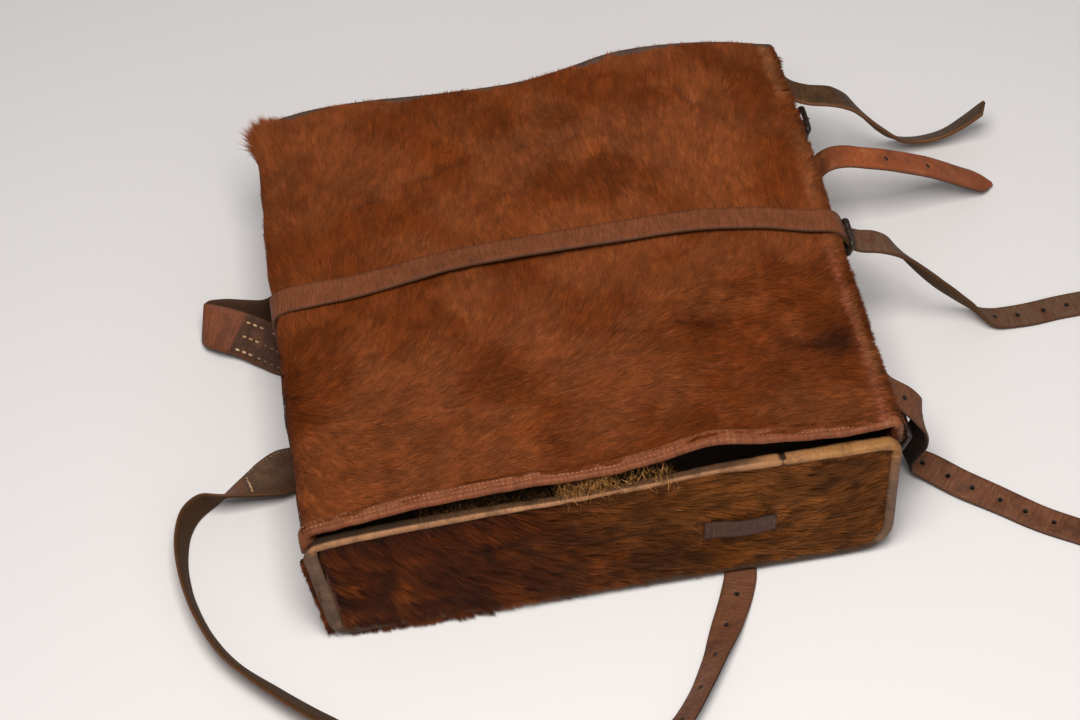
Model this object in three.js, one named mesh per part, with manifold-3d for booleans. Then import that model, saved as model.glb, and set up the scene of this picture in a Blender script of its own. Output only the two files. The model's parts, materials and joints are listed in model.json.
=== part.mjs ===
// Cowhide rucksack: a framed hide pack lying on its back, with a loose flap and leather straps.
// Millimetres, +Z up. +X runs from the pack's top edge to its bottom edge and +Y to its far side.
import * as THREE from "three";
import { mergeVertices } from "three/addons/utils/BufferGeometryUtils.js";
import Module from "manifold-3d";

const wasm = await Module();
wasm.setup();

// Driving dimensions of the box
const PACK_LENGTH = 345;
const PACK_WIDTH = 335;
const WALL = 3;
const GAP = 0.3;
const STRAP_THICK = 2.6;
const TOP_CORNER = 8;
const BOTTOM_CORNER = 18;
const SEAM_HEIGHT = 86;
const SIDE_BELLY = 2;
const REST_FACE = { from: -100, to: 60 };

// Driving dimensions of the edgings
const PIPING_RADIUS = 3.6;
const PIPING_INSET = 0.6;
const RIM_RADIUS = 3.2;
const FLAP_NEAR_EDGE = -163;
const FLAP_FAR_EDGE = 163;
const NEAR_BAND = 8;
const FAR_BAND = 4;
const BAND_THICK = 4;
const BAND_RISE = 0.5;

// Driving dimensions of the flap's turned ends
const HINGE_RADIUS = 10;
const LIP_RADIUS = 6;
const LIP_LENGTH = 18;
const SEAM_DROP = 10;

// Driving dimensions of the straps and buckles
const STRAP_WIDTH = 19;
const BILLET_WIDTH = 20;
const SHOULDER_ROOT_WIDTH = 30;
const SHOULDER_WIDTH = 25;
const STRAP_OVER_FUR = 2;
const HOLE_RADIUS = 1.7;
const BUCKLE = { width: 27, height: 18, bar: 2.6, thick: 2.6, prong: 1.1 };
const RING = { width: 32, height: 13, bar: 2.6, thick: 4 };
const TAB = { width: 16, length: 44, bend: 14, curl: 5, clear: 0.7 };

// Punched holes of each strap, counted back from its tip
const HOLES = {
  centre: { first: 34, pitch: 17, count: 4 },
  corner: { first: 41.5, pitch: 18, count: 7 },
  billet: { first: 68, pitch: 42, count: 2 },
  shoulderNear: { first: 49, pitch: 24.5, count: 7 },
  shoulderFar: { first: 49, pitch: 24.5, count: 5 },
};

// Places worked out from the driving dimensions
const HALF_LENGTH = PACK_LENGTH / 2;
const HALF_WIDTH = PACK_WIDTH / 2;
const FLAT = STRAP_THICK / 2;
const CLEAR = 0.2;
const BASE = STRAP_THICK + 2 * CLEAR;
const EDGE_ROOM = PIPING_INSET + PIPING_RADIUS + GAP;
const PIPING_X = HALF_LENGTH - PIPING_INSET;
const PIPING_Y = HALF_WIDTH - PIPING_INSET;
const PIPING_LOW = BASE + PIPING_RADIUS + CLEAR;
const LIP_FACE = HALF_LENGTH + GAP + WALL + CLEAR;
const HINGE_START = -HALF_LENGTH + HINGE_RADIUS;
const LIP_START = LIP_FACE - LIP_RADIUS;
const PRONG_STAND = BUCKLE.thick / 2 + BUCKLE.prong + GAP;

// Height of the rolled rim above the table, along the near and the far side
const RIM_ROWS = [
  { x: -172, near: 99, far: 99 },
  { x: -138, near: 102, far: 100 },
  { x: -75, near: 105, far: 101 },
  { x: 0, near: 106, far: 101 },
  { x: 50, near: 110, far: 102 },
  { x: 100, near: 111, far: 102 },
  { x: 172, near: 110, far: 102 },
];

// Height of the flap's upper face above the table, at its near edge, its middle and its far edge
const FLAP_ROWS = [
  { x: -165, near: 105, middle: 109, far: 111 },
  { x: -136, near: 111, middle: 114, far: 117 },
  { x: -100, near: 116, middle: 117, far: 118 },
  { x: -48, near: 119, middle: 117, far: 115 },
  { x: 0, near: 119, middle: 116, far: 115 },
  { x: 32, near: 124, middle: 117, far: 121 },
  { x: 62, near: 133, middle: 118, far: 129 },
  { x: 95, near: 127, middle: 119, far: 130 },
  { x: 135, near: 121, middle: 117, far: 125 },
  { x: 172, near: 123, middle: 114, far: 116 },
];

// Soft dents and swells of the flap, each a round hump of the given reach
const FLAP_SWELLS = [
  { x: -70, y: 95, rise: -3, reach: 42 },
  { x: 48, y: 118, rise: 3, reach: 30 },
  { x: 100, y: 62, rise: -3, reach: 30 },
  { x: -125, y: -55, rise: 2.5, reach: 36 },
  { x: -20, y: -85, rise: -3, reach: 40 },
  { x: 118, y: -70, rise: 3, reach: 32 },
  { x: 60, y: -115, rise: -2.5, reach: 26 },
];

// Line of the centre strap over the flap, whose heights follow the flap
const CENTRE_OVER_FLAP = [
  { x: -150, y: 7 },
  { x: -128, y: 5 },
  { x: -66, y: 12 },
  { x: -3, y: 15 },
  { x: 41, y: 15 },
  { x: 92, y: 14 },
  { x: 129, y: 9 },
  { x: 158, y: 3 },
];
const CENTRE_ON_TOP_WALL = [
  { x: -177, y: 12, z: 44 },
  { x: -177, y: 11, z: 74 },
];

// Routes of the straps: a point of the middle line, the twist in degrees and the width there
const CENTRE_TAIL = [
  { x: 170, y: 2, z: 117.5 },
  { x: 177, y: 2, z: 113 },
  { x: 180, y: 3, z: 107 },
  { x: 182.5, y: 3, z: 101 },
  { x: 186.5, y: 3, z: 95.5 },
  { x: 193, y: 2, z: 92.5 },
  { x: 201, y: 2, z: 90.5 },
  { x: 212, y: 0, z: 86, turn: -10 },
  { x: 223, y: -1, z: 74, turn: -30 },
  { x: 237, y: -2, z: 56, turn: -46 },
  { x: 251, y: -2, z: 38, turn: -52 },
  { x: 266, y: -3, z: 21, turn: -46 },
  { x: 277, y: -5, z: 9, turn: -28 },
  { x: 287, y: -6, z: 3, turn: -8 },
  { x: 311, y: -6, z: FLAT },
  { x: 332, y: -4, z: FLAT },
  { x: 358, y: -3, z: FLAT },
  { x: 371, y: -2, z: FLAT, width: 6 },
];
const CORNER_FAR_ROWS = [
  { x: 178, y: 141, z: 107 },
  { x: 178.6, y: 141, z: 99 },
  { x: 183, y: 139, z: 92.5 },
  { x: 191, y: 137, z: 89.5 },
  { x: 206, y: 136, z: 86 },
  { x: 219, y: 138, z: 76, turn: -10 },
  { x: 230, y: 141, z: 60, turn: -20 },
  { x: 240, y: 144, z: 45, turn: -28 },
  { x: 251, y: 148, z: 29, turn: -34 },
  { x: 263, y: 154, z: 14, turn: -38 },
  { x: 277, y: 156, z: 8, turn: -38 },
  { x: 294, y: 156, z: 10, turn: -36 },
  { x: 308, y: 155, z: 20, turn: -30 },
  { x: 320, y: 151, z: 36, turn: -22, width: 15 },
];
const BILLET_ROWS = [
  { x: 174.6, y: 92, z: 30 },
  { x: 177, y: 92, z: 43 },
  { x: 182, y: 92, z: 55 },
  { x: 186.5, y: 91.8, z: 65 },
  { x: 190.5, y: 91.2, z: 71.5 },
  { x: 197, y: 90, z: 76 },
  { x: 206, y: 88, z: 77.6 },
  { x: 216, y: 87, z: 75.4 },
  { x: 229, y: 88.8, z: 69.4 },
  { x: 244, y: 92, z: 60 },
  { x: 268, y: 99, z: 42 },
  { x: 293, y: 106, z: 20 },
  { x: 306, y: 109, z: 9.5, width: 18.5 },
  { x: 312, y: 110, z: 5, width: 15 },
  { x: 318, y: 110, z: 2.2, width: 4 },
];
const CORNER_NEAR_ROWS = [
  { x: 178, y: -121, z: 110 },
  { x: 178.8, y: -121, z: 103.5 },
  { x: 183, y: -124, z: 98.5, turn: 10 },
  { x: 190, y: -128, z: 93.5, turn: 20 },
  { x: 196.5, y: -130, z: 84.5, turn: 22 },
  { x: 199, y: -129, z: 73, turn: -4 },
  { x: 198.5, y: -127, z: 56, turn: -28 },
  { x: 197, y: -120, z: 37, turn: -28 },
  { x: 197, y: -113.5, z: 20, turn: -14 },
  { x: 201.5, y: -111.5, z: 10.5, turn: 6 },
  { x: 212, y: -117, z: 7, turn: 18 },
  { x: 230, y: -133, z: 5, turn: 15 },
  { x: 250, y: -148.5, z: 3.2, turn: 8 },
  { x: 271, y: -165.5, z: 2, turn: 3 },
  { x: 292, y: -179, z: FLAT },
  { x: 304, y: -187, z: FLAT },
  { x: 313, y: -193, z: FLAT, width: 6 },
];
const SHOULDER_NEAR_ROWS = [
  { x: -110, y: -36, z: FLAT, width: SHOULDER_ROOT_WIDTH },
  { x: -150, y: -36, z: FLAT, width: SHOULDER_ROOT_WIDTH },
  { x: -174, y: -37.5, z: FLAT, width: 33 },
  { x: -186, y: -41.5, z: 4.5, turn: -4, width: 36 },
  { x: -199, y: -49.5, z: 8.6, turn: 8, width: 35 },
  { x: -213, y: -56, z: 12.3, turn: 28, width: 29 },
  { x: -227, y: -61, z: 14, turn: 55 },
  { x: -241, y: -63, z: 13.5, turn: 84 },
  { x: -251, y: -72, z: 13, turn: 95 },
  { x: -257, y: -92, z: 12.6, turn: 97.5 },
  { x: -256, y: -121, z: 12.6, turn: 98 },
  { x: -248, y: -152, z: 12.5, turn: 103 },
  { x: -234, y: -179, z: 12.2, turn: 112 },
  { x: -212, y: -203, z: 11.8, turn: 120 },
  { x: -185, y: -228, z: 11.5, turn: 125 },
  { x: -150, y: -256, z: 11.2, turn: 130 },
  { x: -112, y: -281, z: 9.5, turn: 156 },
  { x: -76, y: -298, z: 8.8, turn: 180 },
  { x: -46, y: -304, z: 8.8, turn: 180 },
  { x: -18, y: -300, z: 8.8, turn: 180, width: 14 },
];
const SHOULDER_FAR_ROWS = [
  { x: -110, y: 48, z: FLAT, width: SHOULDER_ROOT_WIDTH },
  { x: -150, y: 48, z: FLAT, width: SHOULDER_ROOT_WIDTH },
  { x: -175, y: 51.5, z: FLAT, width: SHOULDER_ROOT_WIDTH },
  { x: -187, y: 57.5, z: 8.5, turn: -24, width: SHOULDER_ROOT_WIDTH },
  { x: -201, y: 65.2, z: 14, turn: -38, width: SHOULDER_ROOT_WIDTH },
  { x: -216, y: 72, z: 17.5, turn: -36, width: SHOULDER_ROOT_WIDTH },
  { x: -226, y: 77, z: 18, turn: -48, width: SHOULDER_ROOT_WIDTH },
  { x: -230, y: 82, z: 16, turn: -76, width: SHOULDER_ROOT_WIDTH },
  { x: -226, y: 85, z: 14.8, turn: -102, width: SHOULDER_ROOT_WIDTH },
  { x: -213, y: 83, z: 14.8, turn: -112, width: SHOULDER_ROOT_WIDTH },
  { x: -200, y: 81, z: 14.6, turn: -110, width: 28 },
  { x: -187, y: 81.5, z: 14.3, turn: -104 },
  { x: -180, y: 89, z: 13.8, turn: -95 },
  { x: -178, y: 108, z: 13, turn: -90 },
  { x: -178.5, y: 160, z: 13, turn: -90 },
  { x: -178, y: 182, z: 13, turn: -90 },
  { x: -166, y: 195, z: 13, turn: -90 },
  { x: -145, y: 201, z: 13, turn: -92 },
  { x: -115, y: 209, z: 12, turn: -110 },
  { x: -82, y: 217, z: 10, turn: -150 },
  { x: -52, y: 223, z: 8.8, turn: -180 },
  { x: -25, y: 226, z: 8.8, turn: -180 },
  { x: 4, y: 226, z: 8.8, turn: -180, width: 14 },
];
const BILLET_NEAR_ROWS = [
  { x: 81, y: -112, z: FLAT },
  { x: 82, y: -150, z: FLAT },
  { x: 81, y: -168, z: FLAT },
  { x: 75, y: -185, z: 1.6, turn: 4 },
  { x: 64, y: -207, z: 3.5, turn: 18 },
  { x: 53, y: -228, z: 7, turn: 42 },
  { x: 40, y: -249, z: 8.5, turn: 50 },
  { x: 26, y: -267, z: 8.5, turn: 46 },
  { x: 3, y: -289, z: 6, turn: 16 },
  { x: -24, y: -301, z: 5.2 },
  { x: -50, y: -304, z: 5.2 },
  { x: -62, y: -303, z: 5.2, width: 5 },
];
const BILLET_FAR_ROWS = [
  { x: 79, y: 112, z: FLAT },
  { x: 79, y: 150, z: FLAT },
  { x: 78, y: 170, z: FLAT },
  { x: 72, y: 188, z: FLAT },
  { x: 60, y: 205, z: FLAT },
  { x: 40, y: 219, z: 2 },
  { x: 12, y: 225, z: 5.2 },
  { x: -20, y: 226, z: 5.2 },
  { x: -40, y: 225, z: 5.2, width: 5 },
];
const KEEPER = { from: 56, to: 101, height: 56.5, width: 14, stand: 3 };
const RING_ROWS = [
  { name: "near", x: -40, y: -304 },
  { name: "far", x: -18, y: 226 },
];
const BUCKLE_ROWS = [
  { name: "centre", x: 183, y: 3, z: 100, lean: 17 },
  { name: "near", x: 186, y: -133, z: 71, lean: 40 },
  { name: "far", x: 184, y: 127, z: 73, lean: 40 },
];

// Finishes, with the colours of the hide, the straps and the metal
const FINISHES = {
  hide: { color: 0x7a3a16, roughness: 0.85, metalness: 0 },
  band: { color: 0x8c5238, roughness: 0.6, metalness: 0 },
  piping: { color: 0x9a7a58, roughness: 0.65, metalness: 0 },
  strap: { color: 0x5a3a28, roughness: 0.55, metalness: 0 },
  metal: { color: 0x2a2420, roughness: 0.45, metalness: 0.9 },
};

const UP = new THREE.Vector3(0, 0, 1);
const FAR = new THREE.Vector3(0, 1, 0);
const pack = new THREE.Group();

// Adds one named piece with its own finish
function add(name, geometry, finish) {
  const mesh = new THREE.Mesh(geometry, new THREE.MeshStandardMaterial(FINISHES[finish]));
  mesh.name = name;
  pack.add(mesh);
  return mesh;
}

// Evenly spaced values from one end to the other
function spread(from, to, count) {
  return Array.from({ length: count + 1 }, (_, i) => from + ((to - from) * i) / count);
}

// Smooth curve through one column of a table whose rows are placed along X
function column(rows, name) {
  const places = rows.map((row) => row.x);
  const values = rows.map((row) => row[name]);
  const curve = new THREE.CubicInterpolant(places, values, 1);
  return (x) => curve.evaluate(x)[0];
}

// Closed mesh whose faces point outwards
function closedMesh(points, triangles) {
  let volume = 0;
  for (let i = 0; i < triangles.length; i += 3) {
    const [a, b, c] = [0, 1, 2].map((k) => points[triangles[i + k]]);
    volume += a.dot(b.clone().cross(c));
  }
  const geometry = new THREE.BufferGeometry().setFromPoints(points);
  geometry.setIndex(volume > 0 ? triangles : triangles.toReversed());
  return geometry;
}

// Leather or hide sheet: the surface on a grid, and the same grid one thickness behind it
function sheet(surface, us, vs, thickness) {
  const step = 0.01;
  const behind = (u, v) => {
    const alongU = surface(u + step, v).sub(surface(u - step, v));
    const alongV = surface(u, v + step).sub(surface(u, v - step));
    const inward = alongU.cross(alongV).normalize();
    return surface(u, v).addScaledVector(inward, -thickness);
  };
  const face = us.flatMap((u) => vs.map((v) => surface(u, v)));
  const back = us.flatMap((u) => vs.map((v) => behind(u, v)));
  const row = vs.length;
  const total = face.length;
  const triangles = [];
  const quad = (a, b, c, d) => triangles.push(a, b, c, a, c, d);
  for (let i = 0; i + 1 < us.length; i++) {
    for (let j = 0; j + 1 < row; j++) {
      const k = i * row + j;
      quad(k, k + row, k + row + 1, k + 1);
      quad(total + k, total + k + 1, total + k + row + 1, total + k + row);
    }
  }
  const rim = [
    ...us.map((_, i) => i * row),
    ...vs.slice(1).map((_, j) => (us.length - 1) * row + j + 1),
    ...us.slice(1).map((_, i) => (us.length - 1 - i) * row - 1),
    ...vs.slice(1, -1).map((_, j) => row - 2 - j),
  ];
  rim.forEach((a, i) => {
    const b = rim[(i + 1) % rim.length];
    quad(b, a, total + a, total + b);
  });
  return closedMesh([...face, ...back], triangles);
}

// Solid swept through stations, each with its own place, directions and size
function sweep(stations, section) {
  const count = section.length;
  const place = ({ origin, across, normal, width, depth }, [a, b]) =>
    origin.clone().addScaledVector(across, a * width).addScaledVector(normal, b * depth);
  const points = stations.flatMap((station) => section.map((corner) => place(station, corner)));
  const triangles = [];
  for (let i = 0; i + 1 < stations.length; i++) {
    for (let j = 0; j < count; j++) {
      const a = i * count + j;
      const b = i * count + ((j + 1) % count);
      triangles.push(a, b, b + count, a, b + count, a + count);
    }
  }
  const last = (stations.length - 1) * count;
  for (let j = 1; j + 1 < count; j++) {
    triangles.push(0, j + 1, j, last, last + j, last + j + 1);
  }
  return closedMesh(points, triangles);
}

const STRAP_SECTION = [[-0.5, -0.5], [0.5, -0.5], [0.5, 0.5], [-0.5, 0.5]];
const ROUND_SECTION = spread(0, 2 * Math.PI, 8).slice(1).map((a) => [Math.cos(a), Math.sin(a)]);

// Side direction of a strap that lies level, and of one that runs out from the bottom wall
const levelSide = (tangent) => UP.clone().cross(tangent).normalize();
const farSide = (tangent) => FAR.clone().addScaledVector(tangent, -FAR.dot(tangent)).normalize();

// Stations along a smooth route through the rows of a strap
function routeStations(rows, side, { width, depth, perSpan }) {
  const points = rows.map(({ x, y, z }) => new THREE.Vector3(x, y, z));
  const route = new THREE.CatmullRomCurve3(points, false, "centripetal");
  const spans = rows.length - 1;
  return spread(0, 1, spans * perSpan).map((t) => {
    const from = Math.min(Math.floor(t * spans), spans - 1);
    const share = t * spans - from;
    const mix = (name, plain) =>
      THREE.MathUtils.lerp(rows[from][name] ?? plain, rows[from + 1][name] ?? plain, share);
    const tangent = route.getTangent(t);
    const turn = THREE.MathUtils.degToRad(mix("turn", 0));
    const across = side(tangent).applyAxisAngle(tangent, turn);
    const normal = tangent.clone().cross(across);
    const origin = route.getPoint(t);
    const size = mix("width", width);
    origin.z = Math.max(origin.z, (Math.abs(across.z) * size + Math.abs(normal.z) * depth) / 2);
    return { origin, across, normal, width: size, depth };
  });
}

// Flat leather strap along its rows
function strap(rows, side, width) {
  return sweep(routeStations(rows, side, { width, depth: STRAP_THICK, perSpan: 2 }), STRAP_SECTION);
}

// Solid for cutting, from a closed mesh
function solid(geometry) {
  const bare = new THREE.BufferGeometry();
  bare.setAttribute("position", geometry.getAttribute("position"));
  bare.setIndex(geometry.getIndex());
  const merged = mergeVertices(bare);
  const vertProperties = new Float32Array(merged.getAttribute("position").array);
  const triVerts = new Uint32Array(merged.getIndex().array);
  return new wasm.Manifold(new wasm.Mesh({ numProp: 3, vertProperties, triVerts }));
}

// The first mesh with the others cut out of it
function cut(geometry, tools) {
  let body = solid(geometry);
  for (const tool of tools) {
    body = body.subtract(solid(tool));
  }
  const mesh = body.getMesh();
  const result = new THREE.BufferGeometry();
  result.setAttribute("position", new THREE.BufferAttribute(mesh.vertProperties, 3));
  result.setIndex(new THREE.BufferAttribute(mesh.triVerts, 1));
  return result;
}

// Drills along a strap's middle line, the first at a distance back from its tip
function drills(rows, side, width, { first, pitch, count }) {
  const stations = routeStations(rows, side, { width, depth: STRAP_THICK, perSpan: 8 }).reverse();
  const found = [];
  let distance = 0;
  stations.forEach(({ origin, normal }, i) => {
    distance += i ? origin.distanceTo(stations[i - 1].origin) : 0;
    if (found.length < count && distance >= first + found.length * pitch) {
      const drill = new THREE.CylinderGeometry(HOLE_RADIUS, HOLE_RADIUS, 3 * STRAP_THICK, 6);
      drill.applyQuaternion(new THREE.Quaternion().setFromUnitVectors(FAR, normal));
      found.push(drill.translate(origin.x, origin.y, origin.z));
    }
  });
  return found;
}

// Strap with a row of punched holes
function punchedStrap(rows, side, width, holes) {
  return cut(strap(rows, side, width), drills(rows, side, width, holes));
}

// Height of the flap's upper face, from its edges and middle and its soft swells
const flapColumns = ["near", "middle", "far"].map((name) => column(FLAP_ROWS, name));
function flapHeight(x, y) {
  const [near, middle, far] = flapColumns.map((height) => height(x));
  const v = (y - FLAP_NEAR_EDGE) / (FLAP_FAR_EDGE - FLAP_NEAR_EDGE);
  let height = near * (1 - v) * (1 - 2 * v) + middle * 4 * v * (1 - v) + far * v * (2 * v - 1);
  for (const swell of FLAP_SWELLS) {
    const distance = Math.hypot(x - swell.x, y - swell.y) / swell.reach;
    height += swell.rise * Math.exp(-distance * distance);
  }
  return height;
}

// Point of the flap: s is X on the top, and runs on round the hinge and the lip at a constant pace
const HINGE_ARC = (HINGE_RADIUS * Math.PI) / 2;
const LIP_ARC = (LIP_RADIUS * Math.PI) / 2;
function flapPoint(s, y) {
  if (s < HINGE_START) {
    const top = flapHeight(HINGE_START, y) - HINGE_RADIUS;
    const angle = Math.min((HINGE_START - s) / HINGE_RADIUS, Math.PI / 2);
    const drop = Math.max(HINGE_START - s - HINGE_ARC, 0) / SEAM_DROP;
    const x = HINGE_START - HINGE_RADIUS * Math.sin(angle);
    const z = top + HINGE_RADIUS * Math.cos(angle) - drop * (top - SEAM_HEIGHT - GAP);
    return new THREE.Vector3(x, y, z);
  }
  if (s > LIP_START) {
    const top = flapHeight(LIP_START, y) - LIP_RADIUS;
    const angle = Math.min((s - LIP_START) / LIP_RADIUS, Math.PI / 2);
    const drop = Math.max(s - LIP_START - LIP_ARC, 0);
    const x = LIP_START + LIP_RADIUS * Math.sin(angle);
    return new THREE.Vector3(x, y, top + LIP_RADIUS * Math.cos(angle) - drop);
  }
  return new THREE.Vector3(s, y, flapHeight(s, y));
}

// Stations along the flap, close together round its two turned ends
const FLAP_STATIONS = [
  HINGE_START - HINGE_ARC - SEAM_DROP,
  ...spread(HINGE_START - HINGE_ARC, HINGE_START, 4),
  ...spread(HINGE_START, LIP_START, 22).slice(1),
  ...spread(LIP_START, LIP_START + LIP_ARC, 3).slice(1),
  LIP_START + LIP_ARC + LIP_LENGTH - LIP_RADIUS,
];

// Hide lid over the top of the box
function makeFlap() {
  const ys = spread(FLAP_NEAR_EDGE + NEAR_BAND + GAP, FLAP_FAR_EDGE - FAR_BAND - GAP, 18);
  add("flap", sheet(flapPoint, FLAP_STATIONS, ys, WALL), "hide");
}

// Stitched leather bands along the flap's two free sides
function makeFlapBands() {
  const raised = (s, y) => {
    const behind = flapPoint(s - 0.01, y);
    const ahead = flapPoint(s + 0.01, y);
    const slope = ahead.sub(behind).normalize();
    return flapPoint(s, y).add(new THREE.Vector3(-slope.z, 0, slope.x).multiplyScalar(BAND_RISE));
  };
  const near = spread(FLAP_NEAR_EDGE, FLAP_NEAR_EDGE + NEAR_BAND, 1);
  const far = spread(FLAP_FAR_EDGE - FAR_BAND, FLAP_FAR_EDGE, 1);
  add("flap_binding_near", sheet(raised, FLAP_STATIONS, near, BAND_THICK), "band");
  add("flap_binding_far", sheet(raised, FLAP_STATIONS, far, BAND_THICK), "band");
}

// Floor and two end walls of the box, whose lower corners are round
function makeBox() {
  const ys = spread(-HALF_WIDTH + EDGE_ROOM, HALF_WIDTH - EDGE_ROOM, 6);
  const floor = (x, y) => new THREE.Vector3(x, -y, BASE);
  const ends = [-HALF_LENGTH + TOP_CORNER + GAP, HALF_LENGTH - BOTTOM_CORNER - GAP];
  const xs = [ends[0], REST_FACE.from, REST_FACE.to, ends[1]];
  add("back_panel", sheet(floor, xs, ys, WALL), "hide");

  const endWall = (side, corner, top) => (s, y) => {
    const angle = Math.min(s, 1) * (Math.PI / 2);
    const x = side * (HALF_LENGTH - corner + corner * Math.sin(angle));
    const climb = Math.max(s - 1, 0) * (top - BASE - corner);
    return new THREE.Vector3(x, -side * y, BASE + corner - corner * Math.cos(angle) + climb);
  };
  const turn = [...spread(0, 1, 5), 1.5, 2];
  add("top_wall", sheet(endWall(-1, TOP_CORNER, SEAM_HEIGHT), turn, ys, WALL), "hide");
  const bottomTop = RIM_ROWS.at(-1).far;
  add("bottom_wall", sheet(endWall(1, BOTTOM_CORNER, bottomTop), turn, ys, WALL), "hide");
}

// Side walls between their edgings, bellied a little, with the rim's own line on top
function makeSideWalls() {
  const reach = HALF_LENGTH - EDGE_ROOM;
  const inset = PIPING_RADIUS + GAP;
  const corners = [TOP_CORNER - inset, BOTTOM_CORNER - inset];
  const lowEdge = (x) => {
    const corner = x < 0 ? corners[0] : corners[1];
    const into = Math.max(Math.abs(x) - (reach - corner), 0);
    return PIPING_LOW + inset + corner - Math.sqrt(Math.max(corner * corner - into * into, 0));
  };
  const xs = [
    ...spread(0, Math.PI / 2, 3).map((a) => -reach + corners[0] * (1 - Math.sin(Math.PI / 2 - a))).reverse(),
    ...spread(-reach + corners[0], reach - corners[1], 16),
    ...spread(0, Math.PI / 2, 4).map((a) => reach - corners[1] * (1 - Math.sin(a))),
  ];
  const places = [...new Set(xs.map((x) => Number(x.toFixed(3))))].sort((a, b) => a - b);
  for (const [name, side] of [["near", -1], ["far", 1]]) {
    const rim = column(RIM_ROWS, name);
    const wall = (x, t) => {
      const top = rim(x) - 2 * RIM_RADIUS - GAP;
      const belly = SIDE_BELLY * Math.sin(Math.PI * t) * Math.cos((Math.PI * x) / PACK_LENGTH);
      const share = side < 0 ? t : 1 - t;
      return new THREE.Vector3(x, side * (HALF_WIDTH + belly), THREE.MathUtils.lerp(lowEdge(x), top, share));
    };
    add(`${name}_wall`, sheet(wall, places, spread(0, 1, 5), WALL), "hide");
  }
}

// Rolled rims on the side walls, and the edging that runs down, along and up each side wall
function makeEdgings() {
  const reach = HALF_LENGTH - EDGE_ROOM;
  for (const [name, side] of [["near", -1], ["far", 1]]) {
    const rim = column(RIM_ROWS, name);
    const rimRows = spread(-reach, reach, 14).map((x) => ({
      x,
      y: side * (HALF_WIDTH - WALL / 2),
      z: rim(x) - RIM_RADIUS,
    }));
    const rimSize = { width: RIM_RADIUS, depth: RIM_RADIUS, perSpan: 1 };
    add(`rim_binding_${name}`, sweep(routeStations(rimRows, farSide, rimSize), ROUND_SECTION), "piping");

    const corner = (x, radius, from) =>
      spread(from, from + Math.PI / 2, 4).map((a) => ({
        x: x + radius * Math.cos(a),
        y: side * PIPING_Y,
        z: PIPING_LOW + radius + radius * Math.sin(a),
      }));
    const pipingRows = [
      { x: -PIPING_X, y: side * PIPING_Y, z: rim(-PIPING_X) - 2 * RIM_RADIUS },
      { x: -PIPING_X, y: side * PIPING_Y, z: HALF_LENGTH / 4 },
      ...corner(-PIPING_X + TOP_CORNER, TOP_CORNER, Math.PI),
      { x: -HALF_LENGTH / 3, y: side * PIPING_Y, z: PIPING_LOW },
      { x: HALF_LENGTH / 3, y: side * PIPING_Y, z: PIPING_LOW },
      ...corner(PIPING_X - BOTTOM_CORNER, BOTTOM_CORNER, 1.5 * Math.PI),
      { x: PIPING_X, y: side * PIPING_Y, z: HALF_LENGTH / 3 },
      { x: PIPING_X, y: side * PIPING_Y, z: rim(PIPING_X) - 2 * RIM_RADIUS },
    ];
    const size = { width: PIPING_RADIUS, depth: PIPING_RADIUS, perSpan: 2 };
    add(`corner_binding_${name}`, sweep(routeStations(pipingRows, farSide, size), ROUND_SECTION), "piping");
  }
}

// Flat leather loop sewn at both ends on the near wall
function makeKeeper() {
  const face = -(HALF_WIDTH + SIDE_BELLY) - GAP - FLAT;
  const rows = [0, 0.2, 0.35, 0.65, 0.8, 1].map((share) => ({
    x: THREE.MathUtils.lerp(KEEPER.from, KEEPER.to, share),
    y: face - (share > 0.3 && share < 0.7 ? KEEPER.stand : 0),
    z: KEEPER.height,
    turn: 90,
    width: KEEPER.width,
  }));
  add("side_keeper", strap(rows, farSide, KEEPER.width), "strap");
}

// Centre strap: up the top wall, over the flap and out through its buckle
function centreRows() {
  const lift = STRAP_OVER_FUR + FLAT;
  const over = CENTRE_OVER_FLAP.map(({ x, y }) => {
    const half = STRAP_WIDTH / 2;
    const tilt = Math.atan2(flapHeight(x, y + half) - flapHeight(x, y - half), STRAP_WIDTH);
    return { x, y, z: flapHeight(x, y) + lift, turn: THREE.MathUtils.radToDeg(tilt) };
  });
  const { y } = CENTRE_OVER_FLAP[0];
  const hinge = spread(90, 30, 2).map((degrees) => {
    const angle = THREE.MathUtils.degToRad(degrees);
    const reach = HINGE_RADIUS + lift;
    const x = HINGE_START - reach * Math.sin(angle);
    const z = flapHeight(HINGE_START, y) - HINGE_RADIUS + reach * Math.cos(angle);
    return { x, y: y + 3 * Math.sin(angle), z };
  });
  return [...CENTRE_ON_TOP_WALL, ...hinge, ...over, ...CENTRE_TAIL];
}

// Free straps at the bottom wall
function makeClosingStraps() {
  const rows = centreRows();
  const centreHoles = drills(rows, farSide, STRAP_WIDTH, HOLES.centre);
  const { x, y, z, lean } = BUCKLE_ROWS[0];
  const prongRoom = new THREE.CylinderGeometry(HOLE_RADIUS, HOLE_RADIUS, BUCKLE.height, 8);
  prongRoom.rotateX(Math.PI / 2).translate(PRONG_STAND, 0, 0);
  prongRoom.rotateY(THREE.MathUtils.degToRad(lean)).translate(x, y, z);
  add("centre_strap", cut(strap(rows, farSide, STRAP_WIDTH), [...centreHoles, prongRoom]), "strap");
  add("corner_strap_near", punchedStrap(CORNER_NEAR_ROWS, farSide, STRAP_WIDTH, HOLES.corner), "strap");
  add("corner_strap_far", strap(CORNER_FAR_ROWS, farSide, STRAP_WIDTH), "strap");
  add("billet_strap", punchedStrap(BILLET_ROWS, farSide, STRAP_WIDTH, HOLES.billet), "strap");
}

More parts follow.
